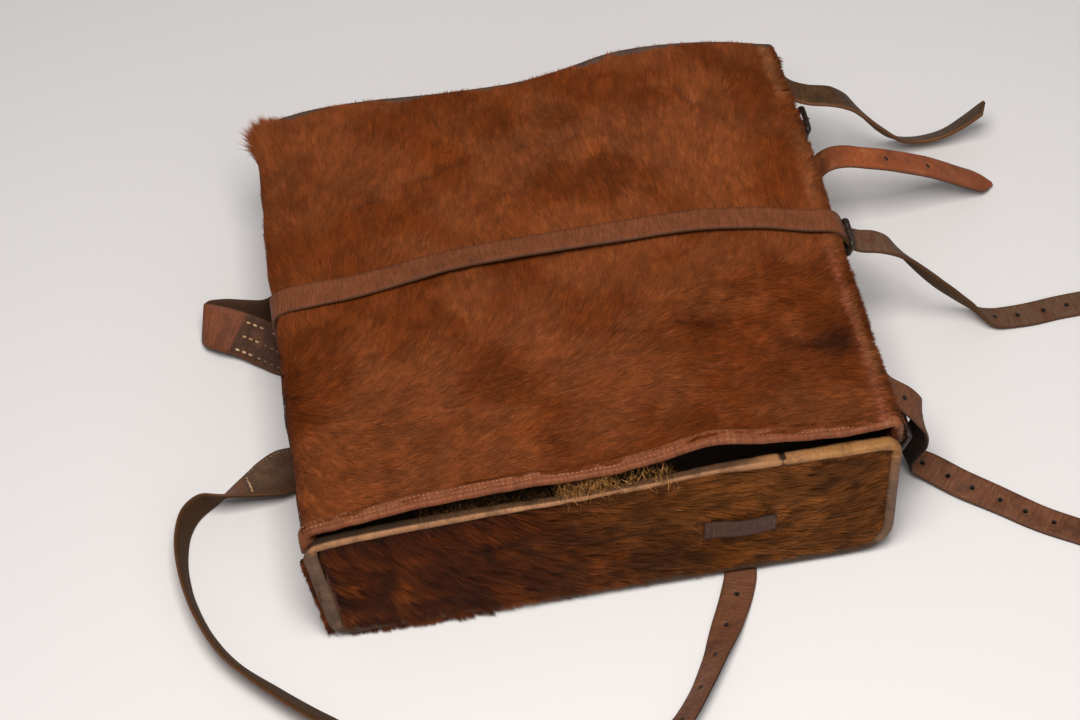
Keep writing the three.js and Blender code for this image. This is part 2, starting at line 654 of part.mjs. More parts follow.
// Shoulder straps from their roots under the back, and the punched billets that they buckle to
function makeShoulderStraps() {
  add("shoulder_strap_near", strap(SHOULDER_NEAR_ROWS, levelSide, SHOULDER_WIDTH), "strap");
  add("shoulder_strap_far", strap(SHOULDER_FAR_ROWS, levelSide, SHOULDER_WIDTH), "strap");
  const nearBillet = punchedStrap(BILLET_NEAR_ROWS, levelSide, BILLET_WIDTH, HOLES.shoulderNear);
  add("shoulder_billet_near", nearBillet, "strap");
  const farBillet = punchedStrap(BILLET_FAR_ROWS, levelSide, BILLET_WIDTH, HOLES.shoulderFar);
  add("shoulder_billet_far", farBillet, "strap");
  const ring = frameGeometry(RING);
  ring.rotateX(Math.PI / 2).rotateZ(Math.PI / 2);
  for (const { name, x, y } of RING_ROWS) {
    add(`shoulder_buckle_${name}`, ring.clone(), "metal").position.set(x, y, RING.height / 2 + CLEAR / 2);
  }
}

// Flat rectangular metal frame, centred on its own middle
function frameGeometry({ width, height, bar, thick }) {
  const corners = [[-0.5, -0.5], [0.5, -0.5], [0.5, 0.5], [-0.5, 0.5]];
  const rectangle = (w, h) => corners.map(([a, b]) => new THREE.Vector2(a * w, b * h));
  const shape = new THREE.Shape(rectangle(width, height));
  shape.holes.push(new THREE.Path(rectangle(width - 2 * bar, height - 2 * bar)));
  return new THREE.ExtrudeGeometry(shape, { depth: thick, bevelEnabled: false }).translate(0, 0, -thick / 2);
}

// Buckle: a frame that leans out from the wall, its prong, and the leather tab that holds it
function makeBuckle({ name, x, y, z, lean }) {
  const angle = THREE.MathUtils.degToRad(lean);
  const rise = new THREE.Vector3(Math.sin(angle), 0, Math.cos(angle));
  const outward = FAR.clone().cross(rise);
  const placed = (group) => {
    group.quaternion.setFromRotationMatrix(new THREE.Matrix4().makeBasis(FAR, rise, outward));
    group.position.set(x, y, z);
  };
  placed(add(`${name}_buckle`, frameGeometry(BUCKLE), "metal"));

  const prong = new THREE.CylinderGeometry(BUCKLE.prong, BUCKLE.prong, BUCKLE.height, 6);
  placed(add(`${name}_buckle_prong`, prong.translate(0, 0, PRONG_STAND), "metal"));

  const bar = rise.clone().multiplyScalar(-(BUCKLE.height - BUCKLE.bar) / 2).add(new THREE.Vector3(x, y, z));
  const wallFace = HALF_LENGTH + 3 * GAP + FLAT;
  const under = bar.clone().addScaledVector(rise, -BUCKLE.bar / 2 - TAB.clear);
  const tabRows = [
    { x: wallFace, y, z: under.z - TAB.length },
    { x: wallFace, y, z: under.z - TAB.bend },
    { x: (wallFace + under.x) / 2, y, z: under.z - TAB.curl },
    { x: under.x, y, z: under.z },
  ];
  add(`${name}_buckle_tab`, strap(tabRows, farSide, TAB.width), "strap");
}

makeBox();
makeSideWalls();
makeEdgings();
makeFlap();
makeFlapBands();
makeKeeper();
makeClosingStraps();
makeShoulderStraps();
BUCKLE_ROWS.forEach(makeBuckle);

// The origin is the middle of the whole piece's footprint, on the table
const bounds = new THREE.Box3().setFromObject(pack);
const middle = bounds.getCenter(new THREE.Vector3());
pack.position.set(-middle.x, -middle.y, -bounds.min.z);

export default pack;
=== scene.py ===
"""Cowhide rucksack: fur, stitched edgings, worn straps and buckles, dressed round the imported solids.

Lengths are millimetres in the pack's own frame: X runs from the pack's top edge to its bottom edge,
Y to its far side and Z up from the table, with the middle of the pack as origin.
"""
import json
import math

import bpy
import numpy as np
from mathutils import Matrix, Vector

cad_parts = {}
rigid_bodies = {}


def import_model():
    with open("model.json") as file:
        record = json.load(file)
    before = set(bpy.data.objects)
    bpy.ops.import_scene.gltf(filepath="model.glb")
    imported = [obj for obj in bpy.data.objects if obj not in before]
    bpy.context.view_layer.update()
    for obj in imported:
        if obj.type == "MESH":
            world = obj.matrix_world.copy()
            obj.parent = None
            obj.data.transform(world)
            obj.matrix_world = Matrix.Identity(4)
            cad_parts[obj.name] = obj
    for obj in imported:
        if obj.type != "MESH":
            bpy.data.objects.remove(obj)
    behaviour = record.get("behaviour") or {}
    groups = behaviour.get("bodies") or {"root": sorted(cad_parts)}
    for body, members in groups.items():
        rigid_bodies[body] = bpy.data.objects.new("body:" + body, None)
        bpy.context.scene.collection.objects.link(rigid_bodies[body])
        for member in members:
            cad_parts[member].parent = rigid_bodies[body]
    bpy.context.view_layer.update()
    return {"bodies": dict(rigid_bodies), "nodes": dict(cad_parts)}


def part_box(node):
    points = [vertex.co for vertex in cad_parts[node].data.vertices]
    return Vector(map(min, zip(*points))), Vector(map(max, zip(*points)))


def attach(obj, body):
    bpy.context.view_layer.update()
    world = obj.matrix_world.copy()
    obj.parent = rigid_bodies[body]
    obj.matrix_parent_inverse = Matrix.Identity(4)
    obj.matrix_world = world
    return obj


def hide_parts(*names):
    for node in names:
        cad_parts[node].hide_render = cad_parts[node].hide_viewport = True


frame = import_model()
BODY = next(iter(frame["bodies"]))
MM = 0.001

# Sizes of the box, its edgings and the flap's turned ends
HALF_LENGTH = 172.5
HALF_WIDTH = 167.5
WALL = 3.0
GAP = 0.3
BASE = 3.0
TOP_CORNER = 8.0
BOTTOM_CORNER = 18.0
SEAM_HEIGHT = 86.0
SIDE_BELLY = 2.0
BELLY_HEIGHT = 95.0
RIM_RADIUS = 3.2
PIPING_RADIUS = 3.6
PIPING_INSET = 0.6
FLAP_NEAR_EDGE = -163.0
FLAP_FAR_EDGE = 163.0
NEAR_BAND = 8.0
FAR_BAND = 4.0
HINGE_RADIUS = 10.0
LIP_RADIUS = 6.0
LIP_LENGTH = 18.0
SEAM_DROP = 10.0
TOP_SWELL = 6.3
SWELL_HEIGHT = 95.0
TOP_WALL_SWELL = 0.25
FAR_TUCK = 3.5
STRAP_THICK = 2.6
FLAT = STRAP_THICK / 2
STRAP_WIDTH = 19.0
BILLET_WIDTH = 20.0
ROOT_WIDTH = 30.0
SHOULDER_WIDTH = 25.0
STRAP_OVER_FUR = 2.0
STRAP_OVER_HINGE = 1.2
HAIR_ROOT = 0.15
HAIR_FLOOR = 0.3
STRAP_FLOOR = 0.02
EDGING_FLOOR = 2.2
HOLE_RADIUS = 1.8
HOLE_FOOT = 0.35

# Places that follow from the sizes
EDGE_ROOM = PIPING_INSET + PIPING_RADIUS + GAP
PIPING_X = HALF_LENGTH - PIPING_INSET
PIPING_Y = HALF_WIDTH - PIPING_INSET
PIPING_LOW = BASE + PIPING_RADIUS + 0.2
HINGE_START = -HALF_LENGTH + HINGE_RADIUS
HINGE_ARC = HINGE_RADIUS * math.pi / 2
LIP_START = HALF_LENGTH + GAP + WALL + 0.2 - LIP_RADIUS
LIP_ARC = LIP_RADIUS * math.pi / 2
FLAP_FIRST = HINGE_START - HINGE_ARC - SEAM_DROP
FLAP_LAST = LIP_START + LIP_ARC + LIP_LENGTH - LIP_RADIUS
PANEL_LOW, PANEL_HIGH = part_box("back_panel")
ORIGIN = np.array([
    PANEL_HIGH.x / MM - (HALF_LENGTH - BOTTOM_CORNER - GAP),
    (PANEL_LOW.y + PANEL_HIGH.y) / 2 / MM,
    0.0,
])

# Soft lamps: name, place and size in metres, power
LAMPS = [("overhead", (-0.15, -0.5, 1.4), 0.6, 22), ("side", (0.5, -1.5, 1.2), 1.2, 4.4)]
LAMP_TARGET = (0, -0.1, 0)
LAMP_COLOUR = (1.0, 0.975, 0.95)
ROOM_COLOUR = (0.97, 0.98, 1.0, 1)
ROOM_STRENGTH = 0.25
FLOOR_COLOUR = (0.735, 0.71, 0.70, 1)

# Camera at the photograph's angle: place, view direction, right hand side and lens
CAMERA_PLACE = (-118.6, -957.4, 1243.0)
CAMERA_FORWARD = (0.0664, 0.6167, -0.7844)
CAMERA_RIGHT = (0.9861, -0.1605, -0.0428)
CAMERA_LENS = 80.0

# Rim heights: x, near side, far side
RIM_ROWS = np.array([
    (-172, 99, 99), (-138, 102, 100), (-75, 105, 101), (0, 106, 101), (50, 110, 102), (100, 111, 102),
    (172, 110, 102),
], float)

# Flap heights: x, near edge, middle, far edge
FLAP_ROWS = np.array([
    (-165, 105, 109, 111), (-136, 111, 114, 117), (-100, 116, 117, 118), (-48, 119, 117, 115),
    (0, 119, 116, 115), (32, 124, 117, 121), (62, 133, 118, 129), (95, 127, 119, 130),
    (135, 121, 117, 125), (172, 123, 114, 116),
], float)

# Soft dents and swells of the flap: x, y, rise, reach
FLAP_SWELLS = [
    (-70, 95, -3, 42), (48, 118, 3, 30), (100, 62, -3, 30), (-125, -55, 2.5, 36), (-20, -85, -3, 40),
    (118, -70, 3, 32), (60, -115, -2.5, 26),
]

# Creases and ridges in the flap's fur, which also darken and lighten its colour as painted shade and painted
# highlight: start x, start y, end x, end y, depth
CREASE_ROWS = [
    (-120, 68, -101, 74, 2.2), (-92, 84, -68, 89, 2.4), (-62, 93, -46, 96, 2.0), (-20, 99, -6, 101, 1.6),
    (8, 96, 30, 99, 1.8), (88, 127, 106, 109, 2.0), (106, 109, 128, 90, 1.6), (42, 122, 50, 137, -1.6),
    (50, 137, 84, 132, -1.8), (84, 132, 93, 118, -1.4), (55, -62, 92, -68, 1.5), (112, -90, 140, -96, 1.4),
]

# Lighter and darker patches of the flap's fur, partly its own tone and partly painted shade in dents and
# painted light where the fur looks brighter: x, y, reach, gain
FLAP_TONE_AND_LIGHT_PATCHES = [
    (40, 87, 7, 1.5), (43, 64, 14, 0.86), (25, 50, 12, 0.9), (24, -13, 16, 0.94), (75, -66, 11, 0.7),
    (40, -76, 12, 0.8), (128, -93, 16, 0.76), (149, -93, 13, 0.22), (-66, 104, 10, 1.25), (110, 40, 34, 1.12),
    (60, 10, 24, 1.1), (-44, -128, 12, 1.3), (-30, -137, 12, 0.74), (-120, 110, 30, 1.1),
    (100, 120, 24, 1.14), (-123, -45, 36, 1.11), (104, -46, 30, 1.1),
]

# Centre strap on the flap: x, y, tilt of its near edge in degrees, extra lift
CENTRE_OVER_FLAP = [
    (-150, 7, 0, 0), (-128, 5, 5, 0.2), (-66, 12, 11, 1.5), (-3, 15, 12, 2.0), (41, 15, 9, 1.2),
    (92, 14, 8, 0.1), (129, 9, 8, 0.3), (158, 3, 4, 0),
]


def strap_rows(width, *rows):
    """Rows of a route with no turn and the usual width where a row gives none."""
    return [row + (0, width)[len(row) - 3:] for row in rows]


# Routes of the straps: x, y, z, turn in degrees, width
CENTRE_ON_TOP_WALL = strap_rows(
    STRAP_WIDTH,
    (-176, 12, 44), (-177, 11, 74),
)
CENTRE_TAIL = strap_rows(
    STRAP_WIDTH,
    (170, 2, 117.5), (177, 2, 113), (180, 3, 107), (182.5, 3, 101), (186.5, 3, 95.5), (193, 2, 92.5),
    (201, 2, 90.5), (212, 0, 86, -10), (223, -1, 74, -29), (237, -2, 56, -39), (251, -2, 38, -43),
    (266, -3, 21, -38), (277, -5, 9, -23), (287, -6, 3, -8), (311, -6, FLAT), (332, -4, FLAT),
    (358, -3, FLAT), (371, -2, FLAT, 0, 6),
)
CORNER_FAR_ROWS = strap_rows(
    STRAP_WIDTH,
    (174.6, 141, 103), (175.4, 141, 97.5), (181.5, 139.5, 92.3), (191, 137, 89.5), (206, 136, 86),
    (219, 138, 76, -10), (230, 141, 60, -20), (240, 144, 45, -28), (251, 148, 29, -34), (263, 154, 14, -38),
    (277, 156, 8, -38), (294, 156, 10, -36), (308, 155, 20, -30), (320, 151, 36, -22, 15),
)
BILLET_ROWS = strap_rows(
    STRAP_WIDTH,
    (174.6, 92, 30), (177, 92, 43), (182, 92, 55), (186.5, 91.8, 65), (190.5, 91.2, 71.5), (197, 90, 76),
    (206, 88, 77.6), (216, 87, 75.4), (229, 88.8, 69.4), (244, 92, 60), (268, 99, 42), (293, 106, 20),
    (306, 109, 9.5, 0, 18.5), (312, 110, 5, 0, 15), (318, 110, 2.2, 0, 3),
)
CORNER_NEAR_ROWS = strap_rows(
    STRAP_WIDTH,
    (177.4, -121, 108), (178.4, -121, 103), (183, -124, 98.5, 10), (190, -128, 93.5, 20),
    (196.5, -130, 84.5, 22), (199, -129, 73, -4), (198.5, -127, 56, -28), (197, -120, 37, -28),
    (197, -113.5, 20, -14), (201.5, -111.5, 10.5, 6), (212, -117, 7, 18), (230, -133, 5, 15),
    (250, -148.5, 3.2, 8), (271, -165.5, 2, 3), (292, -179, FLAT), (304, -187, FLAT),
    (313, -193, FLAT, 0, 6),
)
SHOULDER_NEAR_ROWS = strap_rows(
    SHOULDER_WIDTH,
    (-110, -36, FLAT, 0, ROOT_WIDTH), (-150, -36, FLAT, 0, ROOT_WIDTH), (-174, -37.5, FLAT, 0, 33),
    (-186, -41.5, 4.5, -4, 36), (-199, -49.5, 8.6, 8, 35), (-213, -56, 12.3, 28, 29), (-227, -61, 14, 55),
    (-241, -63, 13.5, 84), (-251, -72, 13, 95), (-257, -92, 12.6, 97.5), (-256, -121, 12.6, 98),
    (-248, -152, 12.5, 103), (-234, -179, 12.2, 112), (-212, -203, 11.8, 120), (-185, -228, 11.5, 125),
    (-150, -256, 11.2, 130), (-112, -281, 9.5, 156), (-76, -298, 8.8, 180), (-46, -304, 8.8, 180),
    (-18, -300, 8.8, 180, 14),
)
SHOULDER_FAR_ROWS = strap_rows(
    SHOULDER_WIDTH,
    (-110, 48, FLAT, 0, ROOT_WIDTH), (-150, 48, FLAT, 0, ROOT_WIDTH), (-175, 51.5, FLAT, 0, ROOT_WIDTH),
    (-187, 57.5, 8.5, -24, ROOT_WIDTH), (-201, 65.2, 14, -38, ROOT_WIDTH), (-216, 72, 17.5, -36, ROOT_WIDTH),
    (-226, 77, 18, -48, ROOT_WIDTH), (-230, 82, 16, -76, ROOT_WIDTH), (-226, 85, 14.8, -102, ROOT_WIDTH),
    (-213, 83, 14.8, -112, ROOT_WIDTH), (-200, 81, 14.6, -110, 28), (-187, 81.5, 14.3, -104),
    (-179, 88, 13.8, -95), (-176.5, 108, 13, -90), (-177, 160, 13, -90), (-176, 182, 13, -90),
    (-166, 195, 13, -90), (-145, 201, 13, -92), (-115, 209, 12, -110), (-82, 217, 10, -150),
    (-52, 223, 8.8, -180), (-25, 226, 8.8, -180), (4, 226, 8.8, -180, 14),
)
BILLET_NEAR_ROWS = strap_rows(
    BILLET_WIDTH,
    (81, -112, FLAT), (82, -150, FLAT), (81, -168, FLAT), (75, -185, 1.6, 4), (64, -207, 3.5, 18),
    (53, -228, 7, 42), (40, -249, 8.5, 50), (26, -267, 8.5, 46), (3, -289, 6, 16), (-24, -301, 5.2),
    (-50, -304, 5.2), (-62, -303, 5.2, 0, 5),
)
BILLET_FAR_ROWS = strap_rows(
    BILLET_WIDTH,
    (79, 112, FLAT), (79, 150, FLAT), (78, 170, FLAT), (72, 188, FLAT), (60, 205, FLAT), (40, 219, 2),
    (12, 225, 5.2), (-20, 226, 5.2), (-40, 225, 5.2, 0, 5),
)
KEEPER_ROWS = [
    (57, -171.8, 57.5, 90, 14.6), (66, -172.2, 57.4, 90, 14.4), (76, -173.6, 57.0, 90, 14),
    (86, -173.6, 56.6, 90, 13.5), (92, -172.4, 56.2, 90, 13.2), (100, -172.0, 55.8, 90, 12.8),
]

# Stitched roots of the shoulder straps, in lengths along them, with their slants and rows across
ROOT_START = 66
FAR_ROOT_END = 89
LAP_END = 106
NEAR_SLANT = 8
FAR_SLANT = 4
FAR_STITCH_ROWS = (-0.3, 0.02, 0.34)
NEAR_STITCH_ROWS = (-0.42,)
KEEPER_STITCH_PLACES = (2.0, 4.6, 30.0, 41.0)

# Stitches: pitch, length, radius
STITCHES = {
    "band_stitches": (2.7, 1.9, 0.45),
    "root_stitches_far": (4.8, 3.2, 0.6),
    "lap_stitches_far": (4.6, 3.8, 0.85),
    "root_stitches_near": (3.0, 2.0, 0.45),
    "lap_stitches_near": (3.4, 2.5, 0.6),
    "keeper_stitches": (2.4, 1.5, 0.34),
}

# Ages along the straps, and painted shade on the billet's rising stretch: slant across the width, lengths,
# shares of age
NEW = (0, (0, 1), (0, 0))
CENTRE_AGE = (0, (420, 445), (0, 1))
# Painted shade on the billet where it climbs the wall under the flap's lip
BILLET_SHADE = (0, (42, 68), (0.9, 0))
NEAR_AGE = (NEAR_SLANT, (109, 111), (1, 0))
FAR_AGE = (FAR_SLANT, (105, 106.5, 133, 150), (1, 0, 0, 0.8))


def hole_places(first, pitch, count):
    """Distances of a strap's holes from its tip."""
    return [first + pitch * k for k in range(count)]


# Holes of the straps, counted from the tip or, below nought, from the root
CENTRE_HOLES = hole_places(34, 17, 4)
CORNER_HOLES = hole_places(41.5, 18, 7) + [-17, -36]
BILLET_HOLES = hole_places(68, 42, 2)
SHOULDER_NEAR_HOLES = hole_places(49, 24.5, 7)
SHOULDER_FAR_HOLES = hole_places(49, 24.5, 5)

# Buckles: x, y, z, lean in degrees, height
BUCKLE_ROWS = {
    "centre": (183, 1, 100, 17, 14),
    "near": (185, -132, 72, 22, 18),
    "far": (184, 125.5, 73, 20, 18),
}
BUCKLE_WIDTH = 24.0
BUCKLE_WIRE = 2.0
TAB_WIDTH = 16.0
RING_ROWS = {"near": (-40, -304), "far": (-18, 226)}
RING_WIDTH = 32.0
RING_HEIGHT = 13.0
RING_WIRE = 1.3
PRONG_RINGS = 12
SIDEWAYS = np.array([0, 1.0, 0])


def srgb(red, green, blue):
    """Linear colour of a display colour from 0 to 255."""
    value = np.array([red, green, blue], float) / 255
    return np.where(value <= 0.04045, value / 12.92, ((value + 0.055) / 1.055) ** 2.4)


def unit(vectors):
    """Vectors of length one, row by row."""
    return vectors / np.maximum(np.linalg.norm(vectors, axis=-1, keepdims=True), 1e-9)


def smooth(value, low, high):
    """Soft step from 0 at low to 1 at high."""
    t = np.clip((value - low) / (high - low), 0, 1)
    return t * t * (3 - 2 * t)


LATTICE_SIZE = 64
LATTICE = np.random.default_rng(11).random((LATTICE_SIZE, LATTICE_SIZE)) * 2 - 1


def noise(u, v, size, seed=0):
    """Smooth noise from -1 to 1 whose features are about as large as size."""
    a = np.asarray(u, float) / size + 7.31 * seed
    b = np.asarray(v, float) / size + 3.77 * seed
    i = np.floor(a).astype(int)
    j = np.floor(b).astype(int)
    f = smooth(a - i, 0, 1)
    g = smooth(b - j, 0, 1)
    i, j, i_next, j_next = (k % LATTICE_SIZE for k in (i, j, i + 1, j + 1))
    low = LATTICE[i, j] * (1 - f) + LATTICE[i_next, j] * f
    high = LATTICE[i, j_next] * (1 - f) + LATTICE[i_next, j_next] * f
    return low * (1 - g) + high * g


def scatter(i, j, k):
    """Repeatable value from 0 to 1 for whole numbers."""
    value = np.sin(i * 127.1 + j * 311.7 + k * 74.7) * 43758.5453
    return value - np.floor(value)


def spline(rows, column, x):
    """Smooth curve through one column of a table, at the places x."""
    t = rows[:, 0]
    v = rows[:, column]
    slope = np.gradient(v, t)
    slope[1:-1] = (v[2:] - v[:-2]) / (t[2:] - t[:-2])
    k = np.clip(np.searchsorted(t, x) - 1, 0, len(t) - 2)
    h = t[k + 1] - t[k]
    f = (x - t[k]) / h
    ends = v[k] * (1 + 2 * f) * (1 - f) ** 2 + v[k + 1] * f * f * (3 - 2 * f)
    return ends + h * (slope[k] * f * (1 - f) ** 2 - slope[k + 1] * f * f * (1 - f))


def flap_height(x, y):
    """Height of the flap's upper face."""
    near, middle, far = (spline(FLAP_ROWS, column, x) for column in (1, 2, 3))
    v = (y - FLAP_NEAR_EDGE) / (FLAP_FAR_EDGE - FLAP_NEAR_EDGE)
    height = near * (1 - v) * (1 - 2 * v) + middle * 4 * v * (1 - v) + far * v * (2 * v - 1)
    for swell_x, swell_y, rise, reach in FLAP_SWELLS:
        height = height + rise * np.exp(-((x - swell_x) ** 2 + (y - swell_y) ** 2) / reach ** 2)
    return height


def top_swell(y, z):
    """How far the pack's top end swells out, most of all at its near upper corner."""
    pressed = 2.5 * np.exp(-((y - 8) / 12) ** 2)
    return (TOP_SWELL * (0.45 + 0.55 * smooth(-y, -150, -20)) - pressed) * np.clip(z / SWELL_HEIGHT, 0, 1)


def flap_point(s, y):
    """Point of the flap: s is X on the top, and runs on round the hinge and the lip."""
    s, y = np.broadcast_arrays(np.asarray(s, float), np.asarray(y, float))
    middle = np.clip(s, HINGE_START, LIP_START)
    x = middle.copy()
    z = flap_height(middle, y)
    back = np.maximum(HINGE_START - s, 0)
    angle = np.minimum(back / HINGE_RADIUS, math.pi / 2)
    drop = np.maximum(back - HINGE_ARC, 0) / SEAM_DROP
    x = x - HINGE_RADIUS * np.sin(angle)
    z = z - HINGE_RADIUS * (1 - np.cos(angle)) - drop * (z - HINGE_RADIUS - SEAM_HEIGHT - GAP)
    ahead = np.maximum(s - LIP_START, 0)
    angle = np.minimum(ahead / LIP_RADIUS, math.pi / 2)
    x = x + LIP_RADIUS * np.sin(angle)
    z = z - LIP_RADIUS * (1 - np.cos(angle)) - np.maximum(ahead - LIP_ARC, 0)
    x = x - top_swell(y, SWELL_HEIGHT) * smooth(-s, 105, 162)
    x = x - FAR_TUCK * smooth(s, 120, 172) * smooth(y, 60, 140)
    return np.stack([x, y, z], -1)


def segment_distance(x, y, row):
    """Distance from points to the straight line between a row's two ends."""
    x0, y0, x1, y1 = row[:4]
    along = np.array([x1 - x0, y1 - y0])
    share = np.clip(((x - x0) * along[0] + (y - y0) * along[1]) / along.dot(along), 0, 1)
    return np.hypot(x - x0 - share * along[0], y - y0 - share * along[1])


def normals_of(surface, u, v, step=0.5):
    """Unit directions of a surface along u, along v and outwards."""
    along_u = unit(surface(u + step, v) - surface(u - step, v))
    along_v = unit(surface(u, v + step) - surface(u, v - step))
    return along_u, along_v, unit(np.cross(along_u, along_v))


def flap_relief(s, y):
    """Small rise and fall of the fur on the flap."""
    relief = 0.9 * noise(s, y, 34, 1) + 0.5 * noise(s, y, 14, 2)
    for row in CREASE_ROWS:
        distance = segment_distance(s + noise(s, y, 12, 3) * 2, y + noise(s, y, 12, 4) * 2, row)
        valley = np.exp(-((distance / 4.0) ** 2))
        lips = np.exp(-(((distance - 9.0) / 5.0) ** 2))
        relief = relief - 0.3 * row[4] * (valley - 0.5 * lips)
    return relief


def furry_flap(s, y):
    """Flap with its creases and small swells."""
    base = flap_point(s, y)
    out = normals_of(flap_point, s, y)[2]
    over_band = 1.5 * smooth(FLAP_NEAR_EDGE + NEAR_BAND - y, -2, 2)
    return base + out * (flap_relief(s, y) + over_band)[..., None]


def rim_height(x, side):
    """Top of the rolled rim on the near side (-1) or the far side (1)."""
    return spline(RIM_ROWS, 1 if side < 0 else 2, x)


def side_wall(side):
    """Outer face of a side wall, by X and Z."""
    def surface(x, z):
        share = np.clip((z - BASE) / BELLY_HEIGHT, 0, 1)
        belly = SIDE_BELLY * np.sin(math.pi * share) * np.cos(math.pi * x / (2 * HALF_LENGTH))
        return np.stack([-side * x, side * (HALF_WIDTH + belly), z + 0 * x], -1)
    return surface


def end_wall(side, corner):
    """Outer face of an end wall, by Y and Z, whose lower corner is round."""
    def surface(y, z):
        dip = np.clip(BASE + corner - z, 0, corner)
        x = HALF_LENGTH - corner + np.sqrt(np.maximum(corner ** 2 - dip ** 2, 0))
        swell = TOP_WALL_SWELL * top_swell(side * y, z) if side < 0 else 0 * y
        return np.stack([side * x - swell, side * y, z + 0 * y], -1)
    return surface


def finish_piece(mesh, name, material, nodes=(), is_smooth=True):
    """Object for a mesh, with its finish, that rides on the pack."""
    mesh.materials.append(material)
    mesh.polygons.foreach_set("use_smooth", np.full(len(mesh.polygons), is_smooth))
    piece = bpy.data.objects.new(name, mesh)
    bpy.context.scene.collection.objects.link(piece)
    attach(piece, BODY)
    if nodes:
        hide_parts(*nodes)


def array_mesh(name, points, faces):
    """Mesh from an array of points and an array of faces that all have as many corners."""
    mesh = bpy.data.meshes.new(name)
    mesh.vertices.add(len(points))
    mesh.vertices.foreach_set("co", ((points + ORIGIN) * MM).astype(np.float32).ravel())
    corners = faces.shape[1]
    mesh.loops.add(faces.size)
    mesh.loops.foreach_set("vertex_index", faces.astype(np.int32).ravel())
    mesh.polygons.add(len(faces))
    mesh.polygons.foreach_set("loop_start", np.arange(0, faces.size, corners, dtype=np.int32))
    mesh.update(calc_edges=True)
    return mesh


def listed_mesh(name, points, faces):
    """Mesh from an array of points and a list of faces, without the points that no face uses."""
    used = np.unique(np.concatenate([np.asarray(face) for face in faces]))
    place = np.zeros(len(points), int)
    place[used] = np.arange(len(used))
    mesh = bpy.data.meshes.new(name)
    corners = [place[list(face)].tolist() for face in faces]
    mesh.from_pydata(((points[used] + ORIGIN) * MM).tolist(), [], corners)
    mesh.update()
    return mesh, used


def grid_faces(rows, columns, closed=False):
    """Quads of a grid of points, joined round its columns where it is closed."""
    i, j = np.meshgrid(np.arange(rows - 1), np.arange(columns if closed else columns - 1), indexing="ij")
    a = i * columns + j
    b = i * columns + (j + 1) % columns
    return np.stack([a, b, b + columns, a + columns], -1).reshape(-1, 4)


def set_attribute(mesh, name, kind, values):
    """Values for each point of a mesh."""
    key = "color" if kind == "FLOAT_COLOR" else ("vector" if kind == "FLOAT_VECTOR" else "value")
    layer = mesh.attributes.new(name, kind, "POINT")
    layer.data.foreach_set(key, np.asarray(values, np.float32).ravel())


def set_inputs(tree, node, inputs):
    """Give a node's inputs, by name or number, their values or links."""
    for key, value in inputs.items():
        if isinstance(value, bpy.types.NodeSocket):
            tree.links.new(value, node.inputs[key])
        else:
            node.inputs[key].default_value = value


def add_node(tree, kind, settings=None, **inputs):
    """Shader node with its settings and inputs."""
    made = tree.nodes.new(kind)
    for key, value in (settings or {}).items():
        setattr(made, key, value)
    set_inputs(tree, made, inputs)
    return made


def mixed(tree, factor, first, second):
    """Colour between two colours or links."""
    made = add_node(tree, "ShaderNodeMix", {"data_type": "RGBA"})
    ends = [end if isinstance(end, bpy.types.NodeSocket) else (*end, 1) for end in (first, second)]
    set_inputs(tree, made, {0: factor, 6: ends[0], 7: ends[1]})
    return made.outputs[2]


def ranged(tree, value, low, high, to_low=0.0, to_high=1.0):
    """Value moved from one range to another, and held there."""
    made = add_node(tree, "ShaderNodeMapRange", Value=value)
    set_inputs(tree, made, {"From Min": low, "From Max": high, "To Min": to_low, "To Max": to_high})
    return made.outputs["Result"]


def maths(tree, operation, first, second=0.0):
    """Sum, product or other simple operation on two values."""
    made = add_node(tree, "ShaderNodeMath", {"operation": operation})
    set_inputs(tree, made, {0: first, 1: second})
    return made.outputs[0]


def new_material(name):
    """Material with its node tree and its surface shader."""
    material = bpy.data.materials.new(name)
    material.use_nodes = True
    return material, material.node_tree, material.node_tree.nodes["Principled BSDF"]


def times(tree, first, second):
    """Product of two values."""
    return maths(tree, "MULTIPLY", first, second)


def object_place(tree):
    """Place on the object, in metres."""
    return add_node(tree, "ShaderNodeTexCoord").outputs["Object"]


def cloud(tree, place, scale, **more):
    """Noise at a scale counted per metre."""
    return add_node(tree, "ShaderNodeTexNoise", Vector=place, Scale=scale, **more).outputs["Fac"]


def bumped(tree, height, strength, distance):
    """Fine relief of a surface, from a height."""
    bump = add_node(tree, "ShaderNodeBump", Strength=strength, Distance=distance, Height=height)
    return bump.outputs["Normal"]


def fur_material():
    """Glossy hair that takes its colour from each strand."""
    material, tree, shader = new_material("fur")
    tint = add_node(tree, "ShaderNodeAttribute", {"attribute_name": "tint"})
    set_inputs(tree, shader, {
        "Base Color": tint.outputs["Color"],
        "Roughness": 0.6,
        "Specular IOR Level": 0.09,
    })
    return material


def hide_material(name, dark, light):
    """Bare hide under the fur, the paler lining inside the pack, or the near-black painted shade in the
    straps' holes.
    """
    material, tree, shader = new_material(name)
    place = object_place(tree)
    set_inputs(tree, shader, {
        "Base Color": mixed(tree, cloud(tree, place, 45, Detail=5), srgb(*dark), srgb(*light)),
        "Normal": bumped(tree, cloud(tree, place, 700, Detail=3), 0.6, 0.0006),
        "Roughness": 0.9,
    })
    return material


def stretched(tree, along, across, along_rate, across_rate):
    """Noise drawn out across a strap, counted per millimetre along it and per half width across it."""
    place = add_node(
        tree, "ShaderNodeCombineXYZ", X=times(tree, along, along_rate), Y=times(tree, across, across_rate))
    return cloud(tree, place.outputs[0], 1.0, Detail=3, Roughness=0.55)


# Ribs of the centre strap, in radians for each millimetre along it, and where they fade out
RIB_RATE = 2 * math.pi / 1.7
RIB_FADE = (140, 230)


